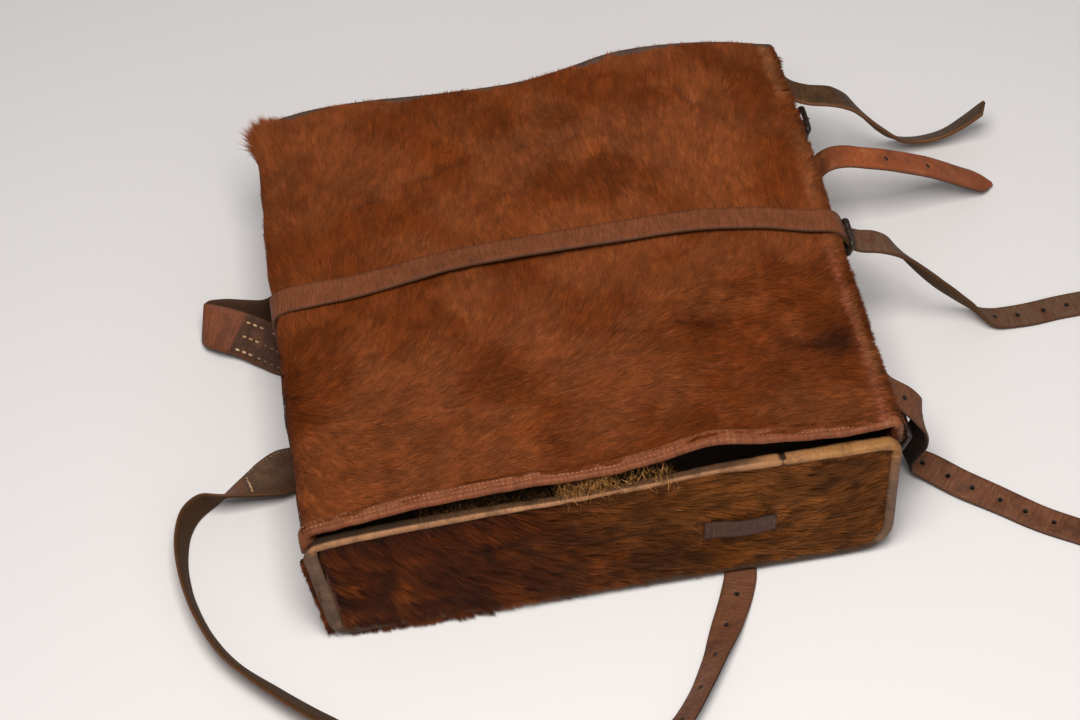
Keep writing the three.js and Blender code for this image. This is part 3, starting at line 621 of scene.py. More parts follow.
def leather_marks(tree, ribbed):
    """Patterns that the colour and the relief of worn leather share."""
    place = object_place(tree)
    lay = add_node(tree, "ShaderNodeAttribute", {"attribute_name": "lay"}).outputs["Vector"]
    along, across, side = add_node(tree, "ShaderNodeSeparateXYZ", Vector=lay).outputs
    blotch = cloud(tree, place, 70, Detail=5, Roughness=0.62)
    grain = add_node(tree, "ShaderNodeTexVoronoi", Vector=place, Scale=1100)
    cracks = maths(tree, "SUBTRACT", stretched(tree, along, across, 0.24, 0.35), 0.5)
    phase = maths(tree, "ADD", times(tree, along, RIB_RATE), times(tree, blotch, 9.0))
    fine = ranged(tree, maths(tree, "SINE", phase), -0.2, 0.9)
    fine = times(tree, fine, ranged(tree, along, *RIB_FADE, 1, 0.15))
    return {
        "across": across,
        "side": side,
        "blotch": blotch,
        "speck": cloud(tree, place, 520, Detail=4, Roughness=0.72),
        "grain": grain.outputs["Distance"],
        "ribs": stretched(tree, along, across, 0.85, 0.5),
        "crack": ranged(tree, maths(tree, "ABSOLUTE", cracks), 0.004, 0.022, 0.55, 0),
        "fine": times(tree, fine, ribbed),
    }


def leather_colour(tree, marks, colours, creases, wear):
    """Colour of worn leather: patches, scuffs, ribs, cracks, worn edges and a rough underside; on the rim and
    edging tubes the worn-edge layer is mostly painted shade.
    """
    face, light, dark, under, aged, edge = colours
    blotch = marks["blotch"]
    speck = marks["speck"]
    age = add_node(tree, "ShaderNodeAttribute", {"attribute_name": "age"})
    rib = times(tree, ranged(tree, marks["ribs"], 0.46, 0.64), ranged(tree, blotch, 0.36, 0.6, 0.2, creases))
    # Worn edges of the straps; on the rim and edging tubes their lay puts mostly painted shade here
    rim = ranged(tree, maths(tree, "ABSOLUTE", marks["across"]), 0.82, 0.98)
    layers = [
        (ranged(tree, blotch, 0.34, 0.5, 0.75, 0), dark),
        (ranged(tree, blotch, 0.54, 0.7, 0, 0.6), light),
        (ranged(tree, speck, 0.56, 0.7, 0, 0.65), dark),
        (ranged(tree, speck, 0.3, 0.42, 0.5, 0), light),
        (rib, dark),
        (times(tree, marks["crack"], creases), dark * 0.55),
        (times(tree, rim, wear), edge),
        (ranged(tree, marks["side"], 0.2, -0.2), under),
        (times(tree, marks["fine"], ranged(tree, speck, 0.35, 0.6, 0.2, 1)), dark),
    ]
    colour = mixed(tree, age.outputs["Fac"], face, aged)
    for share, layer in layers:
        colour = mixed(tree, share, colour, layer)
    return colour


def leather_height(tree, marks, creases):
    """Height of worn leather: its grain and specks, less its ribs and cracks."""
    height = maths(tree, "ADD", times(tree, marks["grain"], 0.3), times(tree, marks["speck"], 0.8))
    for key, depth in (("fine", 1.2), ("ribs", 1.7 * creases), ("crack", 0.8 * creases)):
        height = maths(tree, "SUBTRACT", height, times(tree, marks[key], depth))
    return height


def leather_material(name, face, light, dark, under, aged=None, edge=None, creases=0.5, roughness=0.55,
                     ribbed=0.0, wear=0.75):
    """Worn leather in display colours, with its relief and its uneven gloss."""
    material, tree, shader = new_material(name)
    colours = [srgb(*colour) for colour in (face, light, dark, under, aged or face, edge or dark)]
    marks = leather_marks(tree, ribbed)
    gloss = ranged(tree, marks["speck"], 0.3, 0.7, roughness - 0.1, roughness + 0.16)
    set_inputs(tree, shader, {
        "Base Color": leather_colour(tree, marks, colours, creases, wear),
        "Normal": bumped(tree, leather_height(tree, marks, creases), 0.7, 0.0005),
        "Roughness": maths(tree, "MAXIMUM", gloss, ranged(tree, marks["side"], 0.2, -0.2, 0, 0.85)),
        "Specular IOR Level": 0.16,
    })
    return material


def metal_material(name, dark, light):
    """Dark japanned metal, worn bright in spots."""
    material, tree, shader = new_material(name)
    wear = cloud(tree, object_place(tree), 380, Detail=5, Roughness=0.7)
    set_inputs(tree, shader, {
        "Base Color": mixed(tree, ranged(tree, wear, 0.52, 0.7), srgb(*dark), srgb(*light)),
        "Normal": bumped(tree, wear, 0.35, 0.0003),
        "Roughness": ranged(tree, wear, 0.35, 0.65, 0.34, 0.6),
        "Metallic": 0.5,
    })
    return material


def thread_material(name, light, dark):
    """Waxed thread, stained in places."""
    material, tree, shader = new_material(name)
    place = object_place(tree)
    soil = ranged(tree, cloud(tree, place, 160, Detail=4), 0.38, 0.62)
    set_inputs(tree, shader, {
        "Base Color": mixed(tree, soil, srgb(*dark), srgb(*light)),
        "Normal": bumped(tree, cloud(tree, place, 2600, Detail=2), 0.5, 0.0002),
        "Roughness": 0.75,
    })
    return material


def clump_places(u, v, size, seed):
    """For each strand, the way to the middle of its lock and three values that the lock shares."""
    i = np.floor(u / size)
    j = np.floor(v / size)
    best = np.full(len(u), np.inf)
    to_u, to_v, row, column = (np.zeros(len(u)) for _ in range(4))
    for di in (-1, 0, 1):
        for dj in (-1, 0, 1):
            du = (i + di + scatter(i + di, j + dj, seed)) * size - u
            dv = (j + dj + scatter(i + di, j + dj, seed + 1)) * size - v
            distance = du * du + dv * dv
            nearer = distance < best
            best = np.where(nearer, distance, best)
            to_u = np.where(nearer, du, to_u)
            to_v = np.where(nearer, dv, to_v)
            row = np.where(nearer, i + di, row)
            column = np.where(nearer, j + dj, column)
    return to_u, to_v, [scatter(row, column, seed + k) for k in (2, 3, 4)]


def strand_colours(rng, tint, style, shade, wide_shade):
    """Colours of the three corners of each strand, darker at its root and a little lighter at its tip:
    painted shade deep in the fur.
    """
    vary = style["vary"]
    gain = (1 + vary * (rng.random(len(shade)) - 0.5)) * (1 + 0.8 * vary * (shade - 0.5))
    gain = gain * (1 + 0.5 * vary * (wide_shade - 0.5))
    colours = np.ones((len(shade), 3, 4))
    for corner, share in enumerate((style["root"], style["root"], 1.1)):
        colours[:, corner, :3] = tint * (gain * share)[:, None]
    return np.clip(colours, 0, 1)


def make_fur(name, surface, u, v, angle, tint, style, seed, trim=1.0, stand=1.0):
    """Hair on a surface: each strand is one slim blade from its root to its tip."""
    rng = np.random.default_rng(seed)
    count = len(u)
    along_u, along_v, out = normals_of(surface, u, v)
    to_u, to_v, (turn, tall, shade) = clump_places(u, v, style["lock"], seed)
    _, _, (wide_turn, _, wide_shade) = clump_places(u, v, style["lock"] * 3, seed + 9)
    short = np.clip(trim, 0, 1) + 0 * u
    stray = style["stray"] * (turn + wide_turn - 1) * short
    angle = angle + stray + rng.normal(0, 0.1, count)
    flow = along_u * np.cos(angle)[:, None] + along_v * np.sin(angle)[:, None]
    pull = (along_u * to_u[:, None] + along_v * to_v[:, None]) * (style["gather"] * short)[:, None]
    length = trim * style["length"] * (0.7 + 0.5 * rng.random(count)) * (0.85 + 0.3 * tall)
    lift = stand * np.radians(style["lift"]) * (0.4 + 0.8 * rng.random(count) + 0.4 * tall)
    roots = surface(u, v) - out * HAIR_ROOT
    tips = roots + (flow * np.cos(lift)[:, None] + out * np.sin(lift)[:, None]) * length[:, None] + pull
    roll = rng.normal(0, 0.35, count)
    across = np.cross(flow, out) * np.cos(roll)[:, None] + out * np.sin(roll)[:, None]
    half = across * (style["width"] * (0.7 + 0.5 * rng.random(count)) / 2)[:, None]
    points = np.stack([roots - half, roots + half, tips], 1).reshape(-1, 3)
    points[:, 2] = np.maximum(points[:, 2], HAIR_FLOOR)
    mesh = array_mesh(name, points, np.arange(3 * count).reshape(-1, 3))
    set_attribute(mesh, "tint", "FLOAT_COLOR", strand_colours(rng, tint, style, shade, wide_shade))
    finish_piece(mesh, name, FUR)
    facing = unit(np.cross(across, tips - roots))
    facing = facing * np.sign(np.sum(facing * out, 1))[:, None]
    mesh.normals_split_custom_set_from_vertices(np.repeat(unit(0.7 * out + 0.5 * facing), 3, 0))


def random_places(rng, count, u_range, v_range):
    """Even random places in a rectangle."""
    return rng.uniform(*u_range, count), rng.uniform(*v_range, count)


# RUST: paler pinkish hair, partly a painted sheen; EMBER: darker orange hair
RUST = srgb(122, 63, 29)
EMBER = srgb(107, 49, 14)
FAWN = srgb(158, 112, 74)
BARE = srgb(136, 74, 50)
WALL_BROWN = srgb(120, 69, 28)
WALL_RED = srgb(94, 42, 10)
WALL_TUFT = srgb(134, 65, 16)
# root: share of the colour that a strand keeps at its root, painted shade deep in the fur
FLAP_FUR = {
    "length": 8.5, "lift": 7.0, "width": 0.52, "lock": 3.6,
    "gather": 0.4, "stray": 0.35, "root": 0.66, "vary": 0.5,
}
WALL_FUR = {
    "length": 18.0, "lift": 8.0, "width": 0.66, "lock": 5.5,
    "gather": 0.65, "stray": 0.5, "root": 0.25, "vary": 1.0,
}
END_FUR = {
    "length": 7.5, "lift": 20.0, "width": 0.5, "lock": 5.0,
    "gather": 0.5, "stray": 0.5, "root": 0.5, "vary": 0.5,
}
FLAP_STRANDS = 120000
WALL_STRANDS = 85000
END_STRANDS = 55000
CORNER_STRANDS = 3500

# Tufts past the edging: lie, share of the full length, steepness
TUFT_STYLE = (math.radians(-118), 0.2, 0.5)


def near_seam(s):
    """Nought on the flap, and one at its sewn edge below the hinge."""
    return smooth(-s, 166, 178)


def flap_flow(s, y):
    """Lie of the flap's hair: away on the far half, turning to lie along X on the near half."""
    bent = y + 22 * noise(s, y, 70, 5)
    inner = 92 * smooth(bent, -78, 4) - 4
    edge = 178 * smooth(bent, -100, 20) - 62
    left = smooth(-s, 128, 170)
    right = smooth(s, 140, 172)
    angle = inner * (1 - left) + edge * left
    angle = angle * (1 - 0.6 * right)
    return np.radians(angle + 22 * noise(s, y, 48, 6) + 12 * noise(s, y, 18, 11))


def under_strap(s, y):
    """One under the centre strap, and nought beside it."""
    x, middle = np.array(CENTRE_OVER_FLAP, float).T[:2]
    return smooth(STRAP_WIDTH / 2 + 1 - np.abs(y - np.interp(s, x, middle)), 0, 4)


def flap_trim(s, y):
    """Share of its length that the flap's hair keeps: less at the edges and under the strap."""
    far = 0.45 + 0.55 * smooth(FLAP_FAR_EDGE - FAR_BAND - y, 1, 11)
    near = 0.55 + 0.45 * smooth(y - FLAP_NEAR_EDGE - NEAR_BAND, -2, 8)
    worn = 1 - (0.3 + 0.3 * smooth(-y, -30, 40)) * smooth(s, 156, 163) * (1 - 0.25 * smooth(s, 167, 173))
    corner = 1 + smooth(-s, 140, 168) * smooth(y, 120, 150) * smooth(s, -184, -175)
    seam = 1 - 0.65 * np.maximum(smooth(-s, 164, 177) * smooth(-y, -140, -110), smooth(-s, 175, 182))
    return far * near * worn * corner * seam * (1 - 0.4 * under_strap(s, y))


def flap_stand(s, y):
    """How steeply the hair stands: most at the hinge's far corner, least at its seam and under the strap."""
    hinge = 1 + 0.6 * smooth(-s, 150, 166) - 1.1 * near_seam(s)
    hinge = hinge + 4.5 * smooth(-s, 150, 172) * smooth(y, 125, 152) * smooth(s, -184, -175)
    lip = 1 - 0.25 * smooth(s, 156, 164) + 0.6 * smooth(s, 167, 174) * smooth(-y, -60, 0)
    return hinge * lip * (1 - 0.75 * under_strap(s, y))


def blended(first, second, share):
    """Colours between two colours, with a share for each strand."""
    return first * (1 - share)[:, None] + second * share[:, None]


def flap_tint(s, y):
    """Colour of the flap's hair, with painted shade in its dents, creases and on the lip's outer face, and
    painted light on its ridges, sheen patches and the lip's ridge.
    """
    gain = 1 + 0.08 * noise(s, y, 60, 7) + 0.08 * noise(s, y, 22, 8) + 0.07 * noise(s, y, 9, 9)
    # Patches of the hair's tone, with painted shade in dents and painted light
    for x0, y0, reach, change in FLAP_TONE_AND_LIGHT_PATCHES:
        wander = noise(s, y, 8, 10) * reach * 0.4
        gain = gain * (1 + (change - 1) * np.exp(-(((s - x0 + wander) ** 2 + (y - y0) ** 2) / reach ** 2)))
    # Painted shade along the creases, and painted highlight along the ridges whose depth is below nought
    for row in CREASE_ROWS:
        ragged = 2.7 + 1.6 * noise(s, y, 5, 25)
        gain = gain * (1 - 0.15 * row[4] * np.exp(-((segment_distance(s, y, row) / ragged) ** 2)))
    # Patches between RUST, the paler pinkish hair that is partly a painted sheen, and EMBER, the darker
    # orange hair
    sheen_and_tone_mix = smooth(noise(s, y, 34, 12) + 0.6 * noise(s, y, 14, 13), -0.6, 0.6)
    colour = blended(RUST, EMBER, sheen_and_tone_mix)
    # FAWN: worn, paler hair on the lip, partly a painted highlight along its ridge
    worn = 0.3 * smooth(s, 160, 165) * smooth(-s, -173, -167) * smooth(noise(s, y, 24, 14), -0.5, 0.5)
    colour = blended(colour, FAWN, worn)
    nearer = smooth(-y + 30 * noise(s, y, 30, 27), -40, 30)
    bald = 0.75 * smooth(s, 156, 161) * smooth(-s, -169, -164) * nearer
    colour = blended(colour, BARE, bald)
    gain = gain * (1 + 0.3 * smooth(-s, 150, 172) * smooth(y, 115, 150))
    # Painted highlight along the lip's ridge, and painted shade on the lip's turned-down outer face
    gain = gain * (1 + 0.14 * np.exp(-((s - 163) / 3.5) ** 2)) * (1 - 0.25 * smooth(s, 167, 172))
    return colour * gain[:, None]


def make_flap_fur():
    """Short combed hair over the whole flap, in three strips."""
    rng = np.random.default_rng(3)
    edges = np.linspace(FLAP_NEAR_EDGE + 0.5, FLAP_FAR_EDGE - FAR_BAND + 1.5, 4)
    for k, name in enumerate(("near", "middle", "far")):
        s, y = random_places(rng, FLAP_STRANDS, (FLAP_FIRST + 1, FLAP_LAST), edges[k:k + 2])
        ragged = 4 * smooth(noise(s, 0, 14, 24) + 0.5 * noise(s, 0, 5, 26), -0.3, 0.8)
        ragged = ragged * (1 - 0.4 * smooth(s, 20, 60)) + 2.6 * smooth(s, 20, 60) + 8.5 * smooth(s, 171, 175)
        kept = y > FLAP_NEAR_EDGE + NEAR_BAND - ragged
        s = s[kept]
        y = y[kept]
        make_fur(f"fur_flap_{name}", furry_flap, s, y, flap_flow(s, y), flap_tint(s, y), FLAP_FUR, 21,
                 flap_trim(s, y), flap_stand(s, y))


# Lie of the side walls' hair, in degrees from level: x, angle
WALL_FLOW = np.array([
    (-172, -66), (-140, -52), (-100, -40), (-45, -18), (20, -4), (85, 4), (135, 20), (172, 36),
], float)


def wall_flow(x, z):
    """Lie of the side walls' hair: down and right at the pack's top, level and then rising to its bottom."""
    angle = spline(WALL_FLOW, 1, x) + 18 * noise(x, z, 40, 15) + 14 * noise(x, z, 15, 16)
    return np.radians(angle - (10 + 16 * smooth(-x, 30, 80)) * smooth(24 - z, 0, 14))


def wall_tint(x, z):
    """Colour of the side walls' longer hair, redder and darker towards the pack's top."""
    gain = 0.96 + 0.2 * noise(x, z, 40, 17) + 0.2 * noise(x, z, 13, 18)
    red = smooth(-x + 40 * noise(x, z, 30, 19), -60, 90)
    tuft = smooth(noise(x, z, 16, 20), 0.25, 0.75) * smooth(-x, -60, 60)
    colour = blended(WALL_BROWN, WALL_RED, red)
    colour = blended(colour, WALL_TUFT, tuft)
    return colour * (gain * (1.16 - 0.28 * red))[:, None]


def tufted_foot(x):
    """One along the side walls' lower edge near the pack's top, and nought elsewhere."""
    return smooth(-x, 20, 80) * smooth(x, -160, -130)


def wall_trim(x, z, low, high):
    """Share of the full length that a side wall's hair keeps at its edges and under the keeper."""
    right = 0.3 + 0.7 * smooth(HALF_LENGTH - EDGE_ROOM - x, 1, 22)
    foot = 0.42 + 0.06 * tufted_foot(x) + 0.43 * smooth(z - low, 0, 14)
    head = 1 - 0.5 * smooth(x, 60, 110) * smooth(z - high, -14, -2)
    keeper = 1 - 0.7 * smooth(x, 22, 46) * smooth(-x, -112, -100) * smooth(z, 28, 38) * smooth(-z, -74, -64)
    return right * foot * head * keeper


def corner_places(rng, count, side):
    """Places for the tufts that stick out past the edging at the pack's top corner."""
    across, z = random_places(rng, count, (-1.0, 2.5), (BASE + 3, 88))
    return -PIPING_X - 1.25 * PIPING_RADIUS + edge_lean(z, side) + across, z


def make_side_fur(rng):
    """Long hair on the near wall and fewer strands on the far wall, with tufts past the edging."""
    reach = HALF_LENGTH - EDGE_ROOM - 1
    for name, side, count in (("near", -1, WALL_STRANDS), ("far", 1, END_STRANDS)):
        x, share = random_places(rng, count, (-reach, reach), (0, 1))
        inset = np.maximum(np.abs(x) - (reach - 12), 0) * (x > 0)
        low = PIPING_LOW + inset
        high = rim_height(x, side) - RIM_RADIUS - 1
        z = low + share * (high - low)
        x = x + smooth(-x, 120, reach) * edge_lean(z, side)
        stand = 1 + (0.5 + 0.8 * tufted_foot(x)) * smooth(22 - z, 0, 14)
        style = (wall_flow(x, z), wall_trim(x, z, low, high), stand)
        tuft_x, tuft_z = corner_places(rng, CORNER_STRANDS, side)
        x = np.concatenate([x, tuft_x])
        z = np.concatenate([z, tuft_z])
        flow, trim, stand = (
            np.concatenate([values, np.full(CORNER_STRANDS, tuft)])
            for values, tuft in zip(style, TUFT_STYLE)
        )
        flow = flow if side < 0 else math.pi - flow
        make_fur(f"fur_{name}_wall", side_wall(side), -side * x, z, flow, wall_tint(x, z), WALL_FUR,
                 31 + side, trim, stand)


def make_end_fur(rng):
    """Short hair on the top wall, lying close, and on the bottom wall."""
    for name, side, corner, foot, top, room, stand in (
            ("top", -1, TOP_CORNER, 6, SEAM_HEIGHT, 0.5, 0.4),
            ("bottom", 1, BOTTOM_CORNER, 16, 96, EDGE_ROOM, 1.0)):
        y, z = random_places(rng, END_STRANDS, (-HALF_WIDTH + room, HALF_WIDTH - room), (foot, top - 1))
        flow = 0.5 * noise(y, z, 40, 23) - math.pi / 2
        make_fur(f"fur_{name}_wall", end_wall(side, corner), y, z, flow, wall_tint(y, z), END_FUR,
                 41 + side, 1.0, stand)


def make_wall_fur():
    """Hair on all four walls."""
    rng = np.random.default_rng(5)
    make_side_fur(rng)
    make_end_fur(rng)


def make_flap_hide():
    """Hide sheet of the flap under its fur, with its own thickness."""
    s = np.linspace(FLAP_FIRST, FLAP_LAST, 150)
    y = np.linspace(FLAP_NEAR_EDGE + NEAR_BAND + GAP, FLAP_FAR_EDGE - FAR_BAND - GAP, 110)
    grid_s, grid_y = (part.ravel() for part in np.meshgrid(s, y, indexing="ij"))
    face = flap_point(grid_s, grid_y)
    out = normals_of(flap_point, grid_s, grid_y)[2]
    top = face + out * (np.minimum(flap_relief(grid_s, grid_y), 0.6) - 0.8)[:, None]
    thick = WALL + top_swell(grid_y, SWELL_HEIGHT) * near_seam(grid_s)
    points = np.concatenate([top, face - out * thick[:, None]])
    quads = grid_faces(len(s), len(y))
    border = np.concatenate([
        np.arange(len(y)),
        np.arange(1, len(s)) * len(y) + len(y) - 1,
        (len(s) - 1) * len(y) + np.arange(len(y) - 2, -1, -1),
        np.arange(len(s) - 2, 0, -1) * len(y),
    ])
    following = np.roll(border, -1)
    rim = np.stack([border, following, following + len(face), border + len(face)], -1)
    faces = np.concatenate([quads, quads[:, ::-1] + len(face), rim])
    finish_piece(array_mesh("flap_hide", points, faces), "flap_hide", HIDE, ["flap"])


def route(rows, step):
    """Smooth line through the rows of a strap: places, directions, turns and widths."""
    rows = np.array(rows, float)
    points = rows[:, :3]
    before = np.vstack([2 * points[0] - points[1], points, 2 * points[-1] - points[-2]])
    found = []
    for k in range(len(rows) - 1):
        p0, p1, p2, p3 = before[k:k + 4]
        gaps = [max(np.sqrt(np.linalg.norm(b - a)), 1e-3) for a, b in ((p0, p1), (p1, p2), (p2, p3))]
        m1 = gaps[1] * ((p1 - p0) / gaps[0] - (p2 - p0) / (gaps[0] + gaps[1]) + (p2 - p1) / gaps[1])
        m2 = gaps[1] * ((p2 - p1) / gaps[1] - (p3 - p1) / (gaps[1] + gaps[2]) + (p3 - p2) / gaps[2])
        count = max(int(np.linalg.norm(p2 - p1) / step), 1)
        last = k == len(rows) - 2
        t = np.linspace(0, 1, count + 1)[:, None][: None if last else -1]
        place = p1 + m1 * t + (3 * (p2 - p1) - 2 * m1 - m2) * t ** 2 + (2 * (p1 - p2) + m1 + m2) * t ** 3
        pace = m1 + 2 * (3 * (p2 - p1) - 2 * m1 - m2) * t + 3 * (2 * (p1 - p2) + m1 + m2) * t ** 2
        size = rows[k, 3:] * (1 - t) + rows[k + 1, 3:] * t
        found.append(np.hstack([place, unit(pace), size]))
    line = np.vstack(found)
    return line[:, :3], line[:, 3:6], np.radians(line[:, 6]), line[:, 7]


def lengths_along(line):
    """Length from a line's start to each of its points."""
    return np.concatenate([[0], np.cumsum(np.linalg.norm(np.diff(line, axis=0), axis=1))])


def end_faces(rows, count):
    """Faces that close both ends of a tube."""
    last = (rows - 1) * count
    return [tuple(range(count))[::-1], tuple(range(last, last + count))]


def strap_stations(rows, level, step=1.6):
    """Middle line of a strap with its side and face directions, its widths and its length so far."""
    places, along, turn, width = route(rows, step)
    across = np.cross((0, 0, 1), along) if level else SIDEWAYS - along[:, 1:2] * along
    across = unit(across)
    face = np.cross(along, across)
    across = across * np.cos(turn)[:, None] + face * np.sin(turn)[:, None]
    face = np.cross(along, across)
    stand = (np.abs(across[:, 2]) * width + np.abs(face[:, 2]) * STRAP_THICK) / 2
    places[:, 2] = np.maximum(places[:, 2], stand)
    return {
        "place": places, "along": along, "across": across, "face": face, "width": width,
        "length": lengths_along(places),
    }


# Round of a strap's section: share of the width, share of the thickness
TOP_COLUMNS = 9
EDGE = 0.465
STRAP_SECTION = np.array(
    [(a, 0.5) for a in np.linspace(-EDGE, EDGE, TOP_COLUMNS)]
    + [(0.496, 0.24), (0.496, -0.24)]
    + [(a, -0.5) for a in np.linspace(EDGE, -EDGE, TOP_COLUMNS)]
    + [(-0.496, -0.24), (-0.496, 0.24)]
)


def punch(points, stations, count, row):
    """Round hole through a strap at one row of its points: walls in place of the faces it takes."""
    middle = TOP_COLUMNS // 2
    ring = [(-1, -1), (-1, 0), (-1, 1), (0, 1), (1, 1), (1, 0), (1, -1), (0, -1)]
    place, along, across = (stations[key][row] for key in ("place", "along", "across"))
    rims = []
    for centre in (middle, TOP_COLUMNS + 2 + middle):
        flip = 1 if centre == middle else -1
        rim = [(row + i) * count + centre + flip * j for i, j in ring]
        for index, (i, j) in zip(rim, ring):
            depth = (points[index] - place).dot(stations["face"][row])
            turn = along * i + across * j
            radius = HOLE_RADIUS if flip > 0 else HOLE_FOOT
            points[index] = place + unit(turn) * radius + stations["face"][row] * depth
        rims.append(rim)
    taken = {(row + i) * count + c for i in (-1, 0) for c in (
        middle - 1, middle, TOP_COLUMNS + 1 + middle, TOP_COLUMNS + 2 + middle)}
    walls = [(rims[0][k], rims[0][(k + 1) % 8], rims[1][(k + 1) % 8], rims[1][k]) for k in range(8)]
    return taken, walls


def eased(grid):
    """Grid of points smoothed along its rows, with its ends kept."""
    for _ in range(4):
        grid[1:-1] = 0.25 * grid[:-2] + 0.5 * grid[1:-1] + 0.25 * grid[2:]
    return grid


def strap_points(stations, seed):
    """Points of a strap's slightly uneven skin, ring by ring."""
    length = stations["length"]
    wave = 1 + 0.012 * noise(length, 0, 9, seed) + 0.012 * noise(length, 0, 31, seed + 1)
    drift = 0.25 * noise(length, 5, 26, seed + 2)
    a = STRAP_SECTION[:, 0] * (stations["width"] * wave)[:, None] + drift[:, None]
    dent = 0.07 * noise(length[:, None], a, 7, seed + 3)
    dent = dent + 0.1 * noise(length[:, None], a * 0.4, 15, seed + 4)
    b = STRAP_SECTION[:, 1] * STRAP_THICK + dent
    points = stations["place"][:, None] + stations["across"][:, None] * a[..., None]
    points = eased(points + stations["face"][:, None] * b[..., None]).reshape(-1, 3)
    points[:, 2] = np.maximum(points[:, 2], STRAP_FLOOR)
    return points


def strap_faces(points, stations, holes):
    """Faces of a strap and its ends, and the walls of its holes, whose rims move to their places."""
    length = stations["length"]
    count = len(STRAP_SECTION)
    taken = set()
    walls = []
    for distance in holes:
        place = length[-1] - distance if distance > 0 else -distance
        row = int(np.argmin(np.abs(length - place)))
        gone, rim = punch(points, stations, count, row)
        taken |= gone
        walls += rim
    faces = [tuple(quad) for quad in grid_faces(len(length), count, closed=True) if quad[0] not in taken]
    return faces + end_faces(len(length), count), walls


def make_strap(name, rows, material, level=False, holes=(), nodes=None, ageing=NEW, seed=1):
    """Leather strap with rounded edges and holes, counted from its tip or, below nought, from its root."""
    stations = strap_stations(rows, level)
    length = stations["length"][:, None]
    points = strap_points(stations, seed)
    faces, walls = strap_faces(points, stations, holes)
    mesh, used = listed_mesh(name, points, faces + walls)
    lay = np.broadcast_arrays(length, STRAP_SECTION[:, 0] * 2, np.sign(STRAP_SECTION[:, 1]))
    set_attribute(mesh, "lay", "FLOAT_VECTOR", np.stack(lay, -1).reshape(-1, 3)[used])
    slant, lengths, shares = ageing
    age = np.interp(length - slant * STRAP_SECTION[:, 0], lengths, shares)
    set_attribute(mesh, "age", "FLOAT", age.ravel()[used])
    finish_piece(mesh, name, material, nodes or [name])
    # Hole walls take the near-black painted shade of the holes' insides
    if walls:
        mesh.materials.append(HOLE_SHADE)
        in_hole = np.arange(len(mesh.polygons)) >= len(faces)
        mesh.polygons.foreach_set("material_index", in_hole.astype(np.int32))
    return stations


def tube_rings(path, across, up, half_across, half_up, count=14):
    """Rings of points round a line, wide along one direction and high along the other."""
    angle = np.linspace(0, 2 * math.pi, count, endpoint=False)
    ring = across[:, None] * np.cos(angle)[None, :, None] * np.asarray(half_across)[..., None, None]
    ring = ring + up[:, None] * np.sin(angle)[None, :, None] * np.asarray(half_up)[..., None, None]
    return (path[:, None] + ring).reshape(-1, 3)


def add_tube(name, points, rows, count, material, nodes, closed=False, shade=0.0, age=0.0):
    """Tube from its rings, capped or joined to itself, with its lay and its age for the finish."""
    faces = [tuple(quad) for quad in grid_faces(rows, count, closed=True)]
    last = (rows - 1) * count
    if closed:
        faces += [(last + k, last + (k + 1) % count, (k + 1) % count, k) for k in range(count)]
    else:
        faces += end_faces(rows, count)
    mesh, _ = listed_mesh(name, points, faces)
    length = lengths_along(points[::count])[:, None]
    lay = np.stack(np.broadcast_arrays(length, np.zeros((rows, count)) + shade, 1.0), -1)
    set_attribute(mesh, "lay", "FLOAT_VECTOR", lay.reshape(-1, 3))
    set_attribute(mesh, "age", "FLOAT", (np.zeros((rows, count)) + age).ravel())
    finish_piece(mesh, name, material, nodes)


def add_stitches(name, rows, material):
    """Rows of stitches: each row is a line of points with its outward directions."""
    pitch, length, radius = STITCHES[name]
    ring = np.linspace(0, 2 * math.pi, 5, endpoint=False)
    points = []
    faces = []
    for line, out in rows:
        run = lengths_along(line)
        for start in np.arange(pitch / 2, run[-1] - length, pitch):
            ends = [np.array([np.interp(start + d, run, line[:, k]) for k in range(3)]) for d in (0, length)]
            up = unit(np.array([np.interp(start, run, out[:, k]) for k in range(3)]))
            along = unit(ends[1] - ends[0])
            across = np.cross(along, up)
            first = len(points)
            points += [ends[0] - up * radius * 0.4, ends[1] - up * radius * 0.4]
            for share in (0.25, 0.75):
                centre = ends[0] + (ends[1] - ends[0]) * share + up * radius * 0.25
                points += [centre + (across * math.cos(t) + up * math.sin(t)) * radius for t in ring]
            for k in range(5):
                n = (k + 1) % 5
                faces += [(first, first + 2 + n, first + 2 + k), (first + 1, first + 7 + k, first + 7 + n)]
                faces.append((first + 2 + k, first + 2 + n, first + 7 + n))
                faces.append((first + 2 + k, first + 7 + n, first + 7 + k))
    mesh = array_mesh(name, np.array(points), np.array(faces))
    finish_piece(mesh, name, material)


# Round of the near band's section: distance in from the flap's edge, rise above the flap
NEAR_BAND_SECTION = np.array([
    (8.8, 0.1), (8.2, 0.8), (6.6, 1.1), (4.4, 0.9), (2.9, 0.75), (2.2, 1.05), (1.2, 1.1), (0.2, 0.6),
    (-0.3, -0.6), (-0.2, -2.2), (0.8, -3.3), (3.0, -3.6), (6.0, -3.5), (8.6, -3.2),
])
FAR_BAND_SECTION = np.array([
    (4.6, -0.5), (3.0, -0.1), (1.4, 0.35), (0.3, 0.25), (-0.2, -1.3), (0.3, -3.0), (2.0, -3.5), (4.4, -3.3),
])
BAND_RINGS = 260
BAND_STITCH_ROWS = [(6.4, 1.0), (3.6, 0.8)]
NEAR_WAVE = 1.0
FAR_WAVE = 0.2
RUFFLE_IN = 0.6
RUFFLE_UP = 0.5
BAND_SWELL = 0.26
LIP_BAND = 1.7


def band_ruffle(s, wave):
    """Small unevenness along a band."""
    return wave * (0.6 * noise(s, 0, 17, 31) + 0.4 * noise(s, 0, 7, 32))


